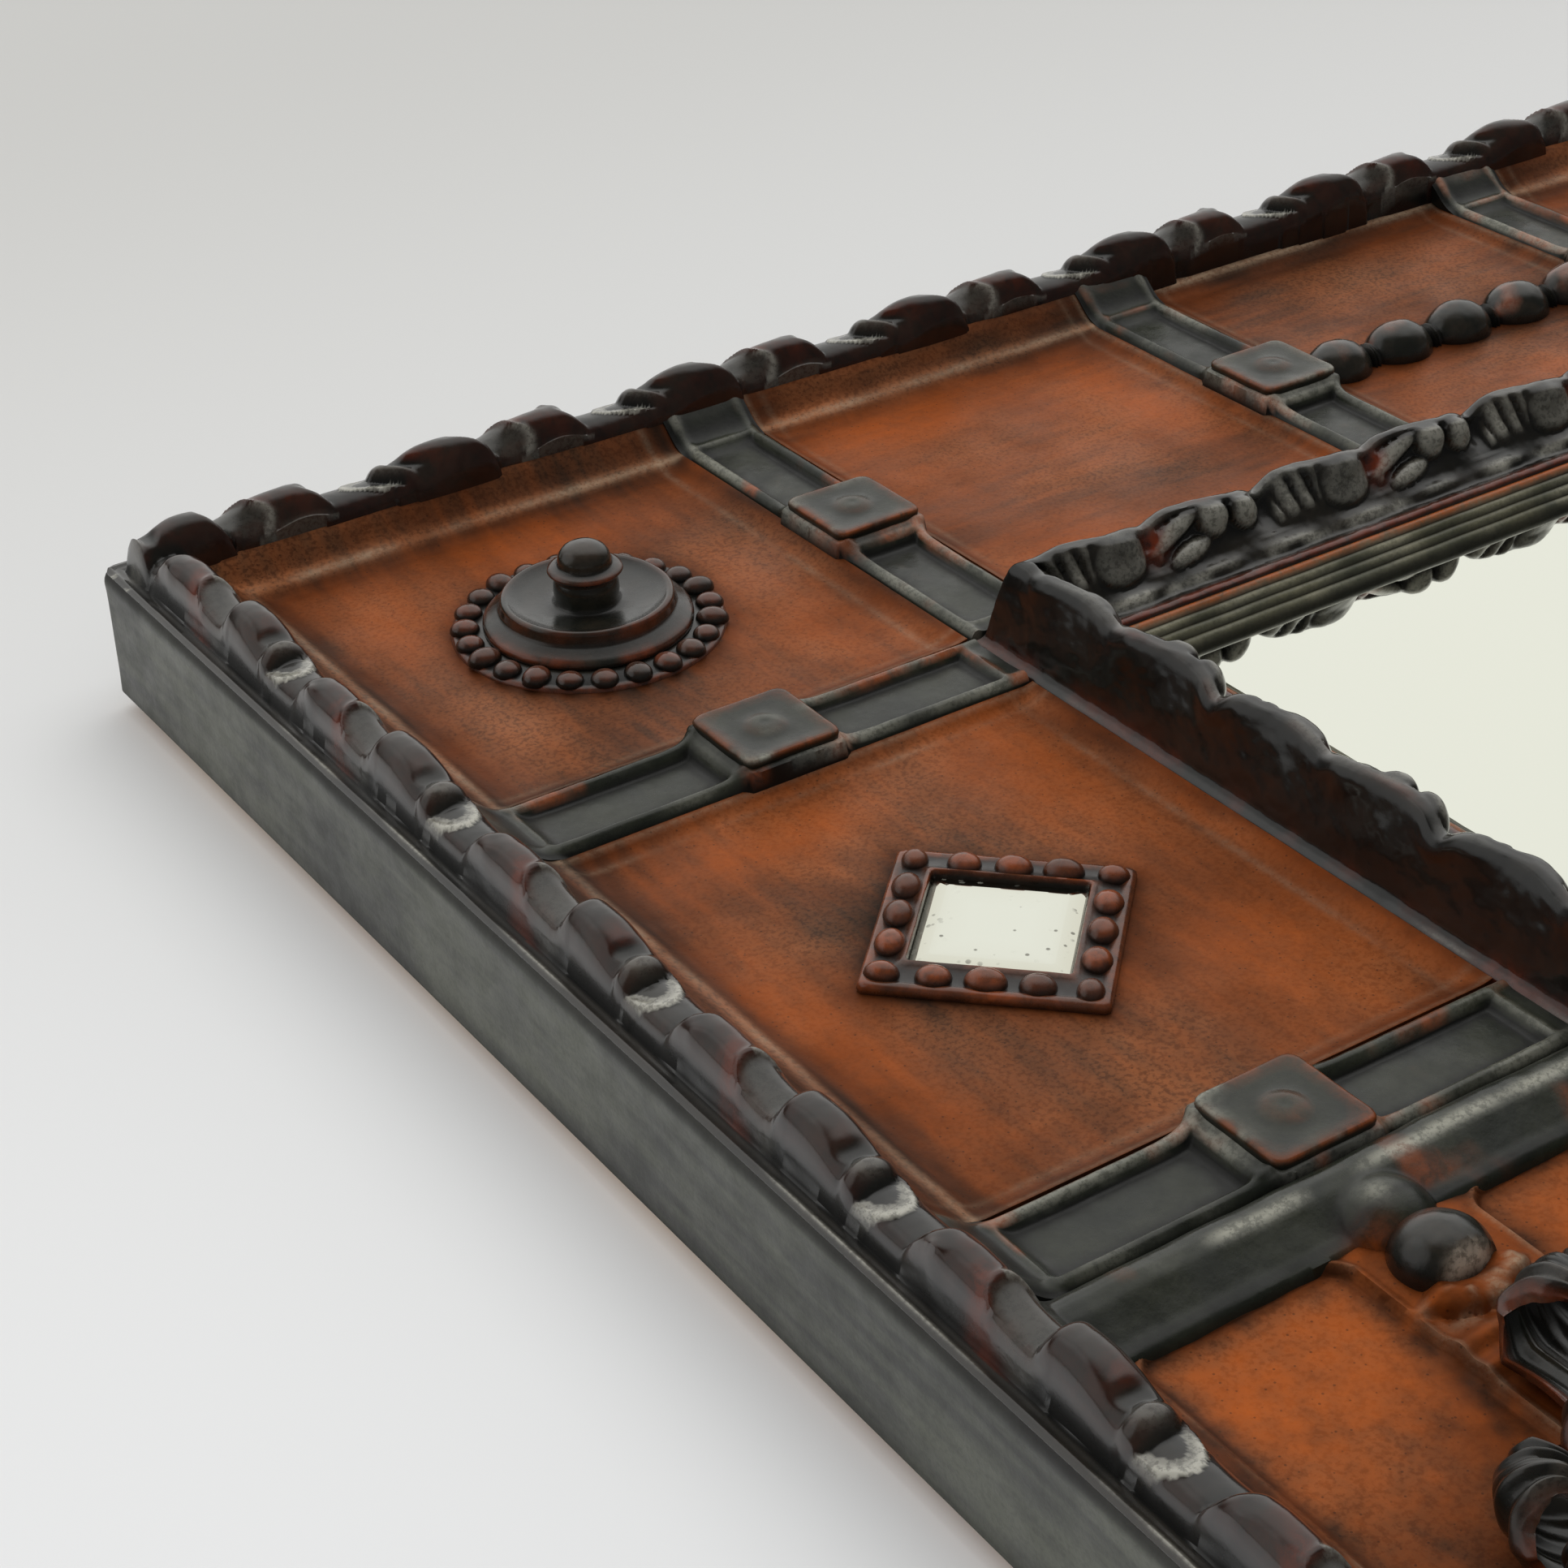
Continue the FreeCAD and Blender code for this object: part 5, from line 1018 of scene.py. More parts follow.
def straps(side):
    """Pressed straps with a rimmed channel on each side of the clasp, joined in one object."""
    shapes = []
    for index, start in enumerate(strap_starts(side)):
        near = FINE[side] is not None and FINE[side][0] - 5 < start < FINE[side][1] - 20
        step = 0.55 if near else 1.0
        along, across = sheet_grid(start, start + STRAP, step)
        x = np.minimum(along - start, start + STRAP - along)
        y = np.minimum(across - PANEL_START, PANEL_END - across)
        waver = 0.35 * noise(along, across, 18.0, 41 + index)
        toward = np.abs(across - BAND_MIDDLE) - 12.0
        kink = np.exp(-np.maximum(toward, 0) / 2.4)
        side_rise = smooth(-0.2, 2.2 - 1.5 * kink, x)
        rim_x = bell(x, 3.1 + waver, 1.25)
        closed = np.minimum(y - 5.5, toward - 3.0)
        inside = smooth(3.6, 5.4, x + waver) * smooth(-1.0, 1.4, closed)
        height = BOARD + 2.0 + 2.9 * side_rise + 0.75 * rim_x - 2.1 * inside
        height = height + 3.0 * kink * (0.4 + 0.6 * side_rise)
        height = height + 0.5 * bell(closed, -1.2, 1.0) * smooth(2.5, 4.5, x)
        height = height + 0.12 * noise(along, across, 5.0, 51 + index)
        climb = SHEET + line_height(across, CLIMB) + 0.3 + 0.9 * side_rise + 0.4 * rim_x
        height = smax(height, climb, 1.0) - 0.25
        grime_and_shade, wear = edge_paint(height, 3, 0.5, 0.55)
        # Painted shade along the strap's sides and ends and where it rises under the clasp.
        grime_and_shade = grime_and_shade + 0.9 * smooth(1.6, 0.2, x) + 0.45 * smooth(3.0, 0.0, y) + 0.35 * kink
        # Pale glints on the worn rims: painted highlights.
        bright = wear * smooth(-0.5, 0.6, noise(along, across, 20.0, 61 + index))
        rusty = wear * smooth(0.0, 0.5, noise(along, across, 14.0, 71 + index))
        paint = channels(np.clip(grime_and_shade, 0, 1), np.clip(rusty * 0.9, 0, 1), np.clip(bright * 0.4, 0, 1),
                         0.5 + 0.3 * noise(along, across, 12.0, 81 + index))
        wider = along + (along - start - STRAP / 2) / STRAP * 2.0 * BESIDE_CLASP * kink
        shapes.append(slab(side, wider, across, height, paint))
    piece("pressed_straps_" + side, shapes, "strap_tin", "straps_" + side)


def rounded_square(half, corner, count):
    """Closed outline of a rounded square (or a circle where corner equals half)."""
    corner = min(corner, half)
    flat = half - corner
    angles = (np.arange(count) + 0.5) / count * 2 * math.pi
    c, s = np.cos(angles), np.sin(angles)
    reach = half / np.maximum(np.abs(c), np.abs(s))
    in_corner = np.minimum(np.abs(c), np.abs(s)) * reach > flat
    b = flat * (np.abs(c) + np.abs(s))
    bent = b + np.sqrt(np.maximum(b * b - 2 * flat * flat + corner * corner, 0))
    return np.column_stack([c, s]) * np.where(in_corner, bent, reach)[:, None]


def loft(rings, count=72):
    """Local points and faces of stacked outlines: rings of (half size, corner radius, level)."""
    points = []
    for half, corner, level in rings:
        outline = rounded_square(max(half, 0.02), corner, count)
        points.append(np.column_stack([outline, np.full(count, level)]))
    a = np.arange(count)
    quads = [np.stack([a, np.roll(a, -1), np.roll(a, -1) + count, a + count], axis=1) + k * count
             for k in range(len(rings) - 1)]
    return np.concatenate(points), np.concatenate(quads)


def local_to_side(points, side, s, d, level, turn=0.0):
    """Points about a place of a side, first turned about the place, as metres in the frame."""
    c, k = math.cos(turn), math.sin(turn)
    x = points[:, 0] * c - points[:, 1] * k + s
    y = points[:, 0] * k + points[:, 1] * c + d
    return on_side(side, x, y, points[:, 2] + level)


def clasps():
    """Sixteen square clasps with worn edges, each bridging its strap."""
    rings = [(0.0, 0.0, 26.5), (11.8, 1.2, 26.5), (11.9, 1.4, 28.0), (11.9, 1.6, 30.0), (11.9, 1.8, 31.6),
             (11.95, 2.0, 32.7), (12.1, 2.2, 33.3), (12.1, 2.4, 33.8), (11.9, 2.5, 34.2), (11.5, 2.6, 34.42),
             (10.9, 2.5, 34.45), (9.8, 2.6, 34.3), (8.2, 3.2, 34.1), (6.8, 5.2, 34.0), (5.6, 5.6, 34.05),
             (4.7, 4.7, 34.3), (3.8, 3.8, 34.65), (2.8, 2.8, 34.9), (1.8, 1.8, 35.0), (0.9, 0.9, 34.95),
             (0.0, 0.0, 34.9)]
    # Per ring: painted shade on the lower sides and in the top's dimple, and wear on the rims.
    grime_and_shade_steps = [1, 1, 1, 1, 0.9, 0.6, 0.3, 0.1, 0, 0, 0, 0, 0.1, 0.25, 0.35, 0.25, 0.1, 0, 0, 0.05, 0.1]
    wears = [0, 0, 0, 0, 0, 0, 0.1, 0.4, 0.8, 0.7, 0.4, 0.15, 0, 0, 0, 0.1, 0.2, 0.15, 0.1, 0, 0]
    count = 96
    shapes = []
    for side in SIDES:
        for number, start in enumerate(strap_starts(side)):
            p, faces = loft(rings, count)
            seed = number * 13 + SIDES.index(side) * 57
            p[:, 0] += 0.16 * noise(p[:, 0] + seed * 3.7, p[:, 1] + seed, 7.0, seed)
            p[:, 1] += 0.16 * noise(p[:, 1] + seed, p[:, 0], 7.0, seed + 3)
            p[:, 2] += 0.12 * noise(p[:, 0], p[:, 1], 9.0, seed + 5) * (p[:, 2] > 30)
            patch = np.clip(0.55 + 0.9 * noise(p[:, 0] + seed, p[:, 1], 8.0, seed + 9), 0, 1)
            wear = np.repeat(wears, count)
            paint = channels(np.repeat(grime_and_shade_steps, count), wear * patch,
                             wear * np.clip(0.5 - patch, 0, 1) * 1.4,
                             0.5 + 0.4 * noise(p[:, 0], p[:, 1], 8.0, seed + 1))
            shapes.append((local_to_side(p, side, start + STRAP / 2, BAND_MIDDLE, 0.0), faces, paint))
    piece("strap_clasps_dressed", shapes, "strap_tin", "strap_clasps", 70.0)


# Inner mouldings.
# Outline across the high moulding, as inset and level: up its outer wall, over the crest and down.
LEAF_PROFILE = [(150.0, 25.6), (150.2, 26.8), (150.9, 28.0), (151.9, 28.7), (152.7, 29.6), (153.2, 31.5),
                (153.9, 35.0), (154.8, 39.0), (155.6, 42.5), (156.2, 45.2), (156.9, 47.4), (158.0, 48.9),
                (159.6, 49.4), (161.2, 49.0), (162.4, 47.8), (163.2, 46.0), (164.0, 44.2), (165.4, 42.4),
                (167.4, 40.4), (169.6, 38.4), (171.6, 36.7), (173.2, 35.6), (174.3, 34.9), (175.0, 34.3)]


def along_profile(profile, step):
    """Points at even steps on a smooth line through a profile, and the distance along it."""
    p = np.array(profile, float)
    reach = np.concatenate([[0], np.cumsum(np.hypot(*np.diff(p, axis=0).T))])
    t = np.linspace(0, reach[-1], int(reach[-1] / step) + 1)
    slopes = np.gradient(p, reach, axis=0)
    k = np.clip(np.searchsorted(reach, t, side="right") - 1, 0, len(p) - 2)
    h = (reach[k + 1] - reach[k])[:, None]
    w = (t - reach[k])[:, None] / h
    out = ((2 * w ** 3 - 3 * w ** 2 + 1) * p[k] + (w ** 3 - 2 * w ** 2 + w) * slopes[k] * h
           + (-2 * w ** 3 + 3 * w ** 2) * p[k + 1] + (w ** 3 - w ** 2) * slopes[k + 1] * h)
    return out[:, 0], out[:, 1], t


# Length of one repeat of the leaf pattern as it was drawn; each side stretches it to fit.
LEAF_BEAT = 68.0


def leaf_moulding(side):
    """High inner moulding with a wavy crest, and leaves, pods and peas on its inner slope.

    The pattern repeats with x from 0 to LEAF_BEAT; t runs along the outline, v down from the crest.
    """
    length = LENGTHS[side]
    fine = FINE[side] is not None
    d0, n0, t = along_profile(LEAF_PROFILE, 0.55 if fine else 0.9)
    zone = {"bottom": (300.0, 585.0), "right": (145.0, 430.0)}.get(side)
    s = steps(150.0, length - 150.0, 0.55, 1.1, zone)
    u, d, n, tt = np.broadcast_arrays(s[None, :], d0[:, None], n0[:, None], t[:, None])
    pitch = (length - 320.0) / (9 if side in TALL else 6)
    q = np.minimum(u - 160.0, length - 160.0 - u)
    x = (q / pitch - np.floor(q / pitch)) * LEAF_BEAT
    major = np.minimum(x, LEAF_BEAT - x)
    minor = np.abs(x - 33.0)
    dips = 2.7 * bell(major, 0.0, 4.2) + 1.1 * bell(minor, 0.0, 3.6)
    beat = x / LEAF_BEAT * 2 * math.pi
    swell = 0.7 * np.sin(2 * beat - 1.0) + 0.3 * noise(u, u * 0, 9.0, 13)
    lift = smooth(38.0, 48.5, n) * (tt < 40)
    from_corner = smooth(1.0, 10.0, q)
    crest = (swell - 1.25 * dips) * lift * 0.8 * from_corner
    lean = 0.9 * (np.sin(2 * beat + 0.6) + bell(major, 0.0, 5.0)) * lift * from_corner
    crest_t = t[np.argmax(n0)]
    v = tt - crest_t
    on_slope = smooth(0.8, 3.0, v) * smooth(t[-1] - crest_t - 1.0, t[-1] - crest_t - 4.0, v)
    ribs = np.abs(np.sin((x - 2.0 - 0.25 * v) / 4.6 * math.pi)) ** 0.6
    fingers = 1.5 * ribs * smooth(0.0, 2.0, x - 1.0) * smooth(17.0, 14.5, x) * smooth(13.0, 8.5, v)
    lobe = 2.6 * bowl((x - 23.0) / 8.5, (v - 6.0) / 7.5)
    pods = np.maximum(2.4 * bowl((x - 40.0 + 0.5 * (v - 5)) / 7.5, (v - 5.5 + 0.25 * (x - 40)) / 2.7),
                      2.2 * bowl((x - 43.0) / 6.5, (v - 10.8 + 0.2 * (x - 43)) / 2.4))
    hook = 1.5 * bowl((x - 34.5) / 2.0, (v - 6.0) / 5.0)
    half = LEAF_BEAT / 2
    peas = [3.4 * bowl(((x - centre + half) % LEAF_BEAT - half) / size, (v - 4.8) / 5.0)
            for centre, size in ((51.0, 4.7), (60.6, 4.9))]
    tail = 1.1 * bell(v, t[-1] - crest_t - 5.6, 1.6) * (0.55 + 0.45 * np.sin(3 * beat + 1.0))
    raised = np.maximum.reduce([fingers, lobe, pods, hook, *peas])
    bump = raised * on_slope + tail * smooth(1.0, 3.0, t[-1] - tt) - 1.5 * on_slope
    bump = bump + 0.22 * noise(u, tt, 4.0, 23) * smooth(2.0, 6.0, tt) + 0.12 * noise(u, tt, 11.0, 29)
    bump = bump * smooth(0.0, 3.0, tt) * smooth(t[-1] - 0.2, t[-1] - 1.6, tt)
    td, tn = np.gradient(d0, t), np.gradient(n0, t)
    size = np.hypot(td, tn)
    side_d, side_n = (-tn / size)[:, None], (td / size)[:, None]
    wall_wave = 0.35 * noise(u, tt, 22.0, 37) * smooth(5.0, 9.0, tt) * smooth(24.0, 16.0, tt)
    across = np.clip(d + side_d * (bump - wall_wave) - lean, PANEL_END, LEAF_END)
    level = np.minimum(n + side_n * bump + crest, HIGHEST)
    along = np.clip(u, across, length - across)
    felt = bump + crest + lean * 0.3
    curve = blur(felt, 4 if fine else 3) - felt
    # Darker in the hollows, dirt and painted shade, with painted shade over the whole outer wall and at its
    # foot.
    grime_and_shade = np.clip(curve / 0.9, 0, 1) + 0.45 * (tt < crest_t - 3) + 0.5 * np.exp(-tt / 3.0)
    # Pale broken line along the foot bead: a painted highlight.
    foot_line = 0.5 * bell(tt, 3.3, 0.5) * smooth(-0.2, 0.6, noise(u, tt, 16.0, 43))
    # Painted highlights along the crest and on the tops of the leaves, pods and peas.
    on_crest = 0.4 * bell(tt, crest_t + 0.2, 1.6) * smooth(-0.3, 0.6, noise(u, tt, 12.0, 47))
    bright = np.clip(-curve / 0.8, 0, 1) * on_slope + on_crest
    ridge = bell(v, t[-1] - crest_t - 5.0, 1.3) * smooth(-0.2, 0.5, noise(u, tt, 9.0, 53))
    red = 0.9 * bell(x, 34.0, 3.5) * bell(v, 6.0, 4.0) + 0.9 * bell(t[-1] - tt, 1.2, 0.8)
    red = red + 0.35 * bell(tt, crest_t - 1.0, 1.2) * smooth(0.0, 0.6, noise(u, tt, 20.0, 59))
    red = red + 0.5 * bell(tt, 4.0, 3.0) * smooth(-0.4, 0.4, noise(u, tt, 11.0, 67))
    paint = channels(np.clip(grime_and_shade, 0, 1) * (1 - foot_line), np.clip(red, 0, 1),
                     np.clip(0.42 * bright + 0.4 * foot_line + 0.5 * ridge, 0, 1),
                     0.3 + 0.3 * on_slope + 0.3 * noise(u, tt, 10.0, 61))
    piece("leaf_relief_" + side, [slab(side, along, across, level, paint)], "dark_moulding",
          "leaf_moulding_" + side, 65.0)


# Outline across the sight moulding, as inset and level, with its grooves.
SIGHT_PROFILE = [(175.0, 27.0), (175.0, 33.6), (175.3, 34.0), (175.9, 34.15), (176.6, 33.9), (177.0, 33.2),
                 (177.3, 32.6), (177.9, 32.9), (178.6, 32.7), (179.1, 31.9), (179.4, 31.1), (180.0, 31.3),
                 (180.7, 31.1), (181.3, 30.3), (181.6, 29.5), (182.1, 29.7), (182.7, 29.6), (183.3, 29.1),
                 (183.8, 28.4), (184.0, 27.6), (184.0, 27.0)]


def sight_moulding(side):
    """Stepped and grooved moulding down to the glass."""
    length = LENGTHS[side]
    d0, n0 = (np.array(v) for v in zip(*SIGHT_PROFILE))
    zone = {"bottom": (300.0, 560.0), "right": (170.0, 440.0)}.get(side)
    s = steps(LEAF_END, length - LEAF_END, 1.5, 4.0, zone)
    u, d, n = np.broadcast_arrays(s[None, :], d0[:, None], n0[:, None])
    inner = (d > 175.5) & (d < 183.9) & (n > 27.5)
    n = n + 0.16 * noise(u, d * 2, 12.0, 7) * inner
    top = on_side(side, np.clip(u, d, length - d), d, n)
    rows, columns = u.shape
    high = np.array([0, 0, 1, 1, 1, 0.5, 0, 0.4, 1, 0.5, 0, 0.4, 1, 0.5, 0, 0.4, 1, 0.6, 0.2, 0, 0])
    high = high[:, None]
    first = np.array([0, 0.2, 0.9, 1, 0.8, 0.3] + [0] * (rows - 6))[:, None]
    # Painted highlights on the tops of the steps; the grooves are darker, dirt and painted shade.
    bright = high * (1 - first) * smooth(-0.3, 0.7, noise(u, d * 3, 14.0, 17)) * 0.55
    paint = channels((1 - high) * 0.8, first * 0.95, bright, 0.5 + 0.4 * noise(u, d, 20.0, 19))
    foot = np.arange(columns)
    head = foot + (rows - 1) * columns
    under = np.stack([head[:-1], head[1:], foot[1:], foot[:-1]], axis=1)
    profile = np.arange(rows) * columns
    piece("sight_flutes_" + side,
          [(top.reshape(-1, 3), np.concatenate([grid_faces(rows, columns), under]), paint.reshape(-1, 4),
            [profile, profile[::-1] + columns - 1])], "sight_tin", "sight_moulding_" + side, 80.0)


# Corner bosses.
def half_ball(radius, height, rings=8, count=20):
    """Low ball standing on its level, closed underneath."""
    out = [(0.0, 0.0, -0.3), (radius, radius, -0.3)]
    for a in np.arange(rings + 1) / rings * math.pi / 2:
        out.append((radius * math.cos(a), radius * math.cos(a), height * math.sin(a)))
    return loft(out, count)


def flat_paint(p, grime_and_shade, wear, mark, seed):
    return channels(grime_and_shade, wear, mark, 0.5 + 0.4 * noise(p[:, 0], p[:, 1] + p[:, 2], 4.0, seed))


BOSS_BEADS, BOSS_BEAD_CIRCLE = 23, 29.1


def boss_rings():
    """Flange with a circle of beads, no two quite alike, at each corner."""
    base = [(0.0, 25.0), (32.6, 25.0), (32.5, 25.9), (32.1, 26.4), (31.6, 26.7), (31.2, 26.8),
            (30.5, 26.8), (26.4, 26.9), (25.8, 27.1), (0.0, 27.1)]
    wear = [0, 0.2, 0.5, 0.6, 0.4, 0.1, 0, 0, 0, 0]
    # Per ring: darker at the flange's foot and in its step, dirt and painted shade.
    grime_and_shade = [1, 0.6, 0.3, 0.2, 0.4, 0.8, 1, 1, 0.6, 0.6]
    count = 96
    shapes = []
    for side in SIDES:
        p, q = loft([(radius, radius, level) for radius, level in base], count)
        patch = 0.7 + 0.5 * noise(p[:, 0], p[:, 1], 9.0, 3)
        paint = channels(np.repeat(grime_and_shade, count), np.repeat(wear, count) * patch, 0.0, 0.5)
        shapes.append((local_to_side(p, side, BAND_MIDDLE, BAND_MIDDLE, 0.0), q, paint))
        for k in range(BOSS_BEADS):
            a = (k + 0.5) / BOSS_BEADS * 2 * math.pi
            ball, faces = half_ball(3.5, 2.5)
            grow = 1 + 0.10 * math.sin(k * 2.7) + 0.06 * math.sin(k * 5.3)
            ball = ball * np.array([1.05 * grow, 0.95, grow])
            # Painted shade round each bead's foot.
            low = np.clip(1 - ball[:, 2] / 2.2, 0, 1)
            worn = smooth(0.6, 2.0, ball[:, 2]) * (0.1 + 0.5 * lattice(k, SIDES.index(side), 5))
            paint = channels(low, worn, 0.0, 0.4 + 0.5 * lattice(k, 7, 3))
            c, t = math.cos(a), math.sin(a)
            moved = np.column_stack([(ball[:, 0] + BOSS_BEAD_CIRCLE) * c - ball[:, 1] * t,
                                     (ball[:, 0] + BOSS_BEAD_CIRCLE) * t + ball[:, 1] * c, ball[:, 2]])
            shapes.append((local_to_side(moved, side, BAND_MIDDLE, BAND_MIDDLE, 26.9), faces, paint))
    piece("boss_ring_beads", shapes, "boss_metal", "corner_boss_rings", 60.0)


# The turned knob from its flange up, as radius, level, darkening (dirt and painted shade under its rims) and
# wear.
KNOB = [
    (0.0, 27.0, 1, 0), (24.5, 27.0, 1, 0), (24.9, 27.6, 0.6, 0.3), (24.8, 28.6, 0.1, 0.9),
    (24.3, 29.2, 0, 0.9), (23.6, 29.6, 0.2, 0.4), (22.6, 30.2, 0.4, 0.1), (21.4, 30.9, 0.6, 0),
    (20.9, 31.2, 0.5, 0.1), (20.6, 31.9, 0.3, 0.3), (20.5, 33.4, 0.1, 0.6), (20.3, 34.1, 0, 0.8),
    (19.9, 34.5, 0, 0.6), (19.2, 34.5, 0, 0.3), (18.6, 34.2, 0.3, 0.1), (17.9, 33.6, 0.5, 0),
    (15.5, 33.0, 0.3, 0), (12.5, 32.5, 0.2, 0), (10.0, 32.2, 0.4, 0), (8.6, 32.3, 0.8, 0),
    (7.7, 32.8, 0.6, 0), (7.6, 34.0, 0.1, 0), (7.8, 35.6, 0, 0), (7.7, 37.2, 0, 0),
    (7.3, 38.4, 0.1, 0), (6.9, 39.2, 0.5, 0.1), (7.2, 39.8, 0.8, 0.1), (8.4, 40.1, 0.4, 0.5),
    (8.9, 40.6, 0.1, 0.8), (8.7, 41.2, 0, 0.6), (7.8, 41.6, 0.4, 0.2), (6.6, 41.8, 0.8, 0),
    (6.3, 42.3, 0.4, 0), (6.3, 43.4, 0, 0), (5.9, 44.8, 0, 0), (5.0, 46.0, 0, 0.1),
    (3.6, 46.9, 0, 0.1), (1.8, 47.4, 0, 0.2), (0.0, 47.5, 0, 0.2)]


def boss_knobs():
    count = 96
    grime_and_shade, worn = (np.repeat(column, count) for column in list(zip(*KNOB))[2:])
    shapes = []
    for number, side in enumerate(SIDES):
        p, q = loft([(radius, radius, level) for radius, level, _, _ in KNOB], count)
        radius = np.hypot(p[:, 0], p[:, 1])
        uneven = 0.006 * noise(np.arctan2(p[:, 1], p[:, 0]) * 6, p[:, 2], 2.0, number) * (radius > 3)
        p[:, :2] *= 1 + uneven[:, None]
        wear = worn * (0.3 + 0.6 * noise(p[:, 0], p[:, 1], 8.0, 5 + number))
        paint = channels(grime_and_shade, np.clip(wear, 0, 1), 0.0, 0.45 + 0.3 * noise(p[:, 0], p[:, 1], 12.0, 9))
        shapes.append((local_to_side(p, side, BAND_MIDDLE, BAND_MIDDLE, 0.0), q, paint))
    piece("boss_knobs_turned", shapes, "boss_metal", "corner_boss_knobs", 70.0)


# Small square mirrors.
SMALL_MIRROR_PLACE = 246.4
# Points round a square outline, many enough to keep its corners sharp.
SQUARE_COUNT = 160
# The beads of a bezel stand this far from its middle.
BEZEL_REACH = 20.4


def mirror_spots():
    """Side and place along it of each small mirror."""
    for side in TALL:
        for along in (SMALL_MIRROR_PLACE, HEIGHT - SMALL_MIRROR_PLACE):
            yield side, along


def bezels():
    """Square bezels set cornerwise, with a bead at each corner and three along each side."""
    rings = [(16.2, 0.2, 25.2), (24.7, 1.4, 25.2), (24.9, 1.6, 26.2), (24.7, 1.6, 27.2), (24.1, 1.4, 27.8),
             (23.2, 1.2, 27.9), (22.4, 1.0, 27.6), (21.8, 0.9, 27.5), (18.6, 0.8, 27.8), (17.6, 0.6, 28.3),
             (17.0, 0.5, 28.7), (16.5, 0.4, 28.8), (16.25, 0.3, 28.5), (16.2, 0.2, 27.4), (16.2, 0.2, 25.2)]
    # Per ring: darker in the bezel's troughs, dirt and painted shade.
    grime_and_shade = [1, 1, 0.5, 0.1, 0, 0.2, 0.7, 1, 0.9, 0.5, 0.2, 0, 0.3, 0.9, 1]
    wear = [0, 0, 0.4, 0.9, 1, 0.7, 0.1, 0, 0, 0.1, 0.4, 0.8, 0.3, 0, 0]
    shapes = []
    for number, (side, along) in enumerate(mirror_spots()):
        def put(p, q, paint, level):
            shapes.append((local_to_side(p, side, along, BAND_MIDDLE, level, math.pi / 4), q, paint))

        p, q = loft(rings, SQUARE_COUNT)
        p[:, 2] += 0.12 * noise(p[:, 0], p[:, 1], 5.0, number) * (p[:, 2] > 26)
        patch = 0.45 + 0.7 * noise(p[:, 0], p[:, 1], 9.0, 40 + number)
        worn = np.clip(np.repeat(wear, SQUARE_COUNT) * patch, 0, 1)
        shade = 0.5 + 0.4 * noise(p[:, 0], p[:, 1], 12.0, 44)
        put(p, q, channels(np.repeat(grime_and_shade, SQUARE_COUNT), worn, 0.0, shade), 0.0)
        for edge in range(4):
            for k in range(4):
                x, y = (k / 2.0 - 1.0) * BEZEL_REACH, -BEZEL_REACH
                c, s = math.cos(edge * math.pi / 2), math.sin(edge * math.pi / 2)
                ball, faces = half_ball(3.5, 2.7) if k == 0 else half_ball(4.0, 2.9)
                wide = 1.0 + 0.24 * (lattice(k + 3 * edge, number, 4) - 0.5)
                ball = ball * np.array([wide, 0.82, wide] if edge % 2 == 0 else [0.82, wide, wide])
                # Painted shade round each bead's foot.
                low = np.clip(1 - ball[:, 2] / 2.6, 0, 1)
                worn = smooth(0.5, 2.4, ball[:, 2]) * (0.1 + 0.7 * lattice(k * 5 + edge, number, 9))
                put(ball + np.array([x * c - y * s, x * s + y * c, 0.0]), faces,
                    channels(low * 0.9, worn, 0.0, 0.3 + 0.5 * lattice(k, edge + number, 3)), 27.5)
    piece("beaded_bezels", shapes, "bezel_metal", "small_mirror_bezels", 60.0)


def small_plates():
    """Small mirrors, each with a wide bevel and darker towards its edge."""
    rings = [(0.0, 0.0, 25.6), (16.1, 0.05, 25.6), (16.15, 0.05, 26.6), (15.9, 0.05, 26.8),
             (14.0, 0.05, 27.35), (12.6, 0.05, 27.8), (12.3, 0.05, 27.85), (11.0, 0.05, 27.85),
             (6.0, 0.05, 27.85), (0.0, 0.0, 27.85)]
    grime_and_shade = [1, 1, 1, 0.9, 0.7, 0.5, 0.3, 0.15, 0.0, 0.0]
    p, q = loft(rings, SQUARE_COUNT)
    paint = channels(np.repeat(grime_and_shade, SQUARE_COUNT), 0.0, 0.0, 0.0)
    shapes = [(local_to_side(p, side, along, BAND_MIDDLE, 0.0, math.pi / 4), q, paint)
              for side, along in mirror_spots()]
    piece("bevelled_small_mirrors", shapes, "small_mirror", "small_mirror_plates", 5.0)


for side in SIDES:
    side_skin(side)
    border(side)
    leaf_moulding(side)
    sight_moulding(side)
    straps(side)
clasps()
boss_rings()
boss_knobs()
bezels()
small_plates()


def near_boss(along, across):
    return np.hypot(along - BAND_MIDDLE, across - BAND_MIDDLE) - 33.5


def near_rod(along, across):
    return np.abs(across - BAND_MIDDLE) - 7.0


def near_bezel(middle):
    return lambda along, across: (
        (np.abs(along - middle) + np.abs(across - BAND_MIDDLE)) / math.sqrt(2) - 25.2)


CORNERS = {"bottom": "bottom_left", "right": "bottom_right", "top": "top_right", "left": "top_left"}
for number, side in enumerate(SIDES):
    panel("corner_sheet_" + CORNERS[side], "corner_panel_" + CORNERS[side], side, PANEL_START,
          PANEL_END - PANEL_START, 100 + number * 20,
          [(44, 100, 14, 40, 0.5), (64, 46, 30, 12, 0.3), (120, 132, 30, 12, 0.3)], near_boss, corner=True)

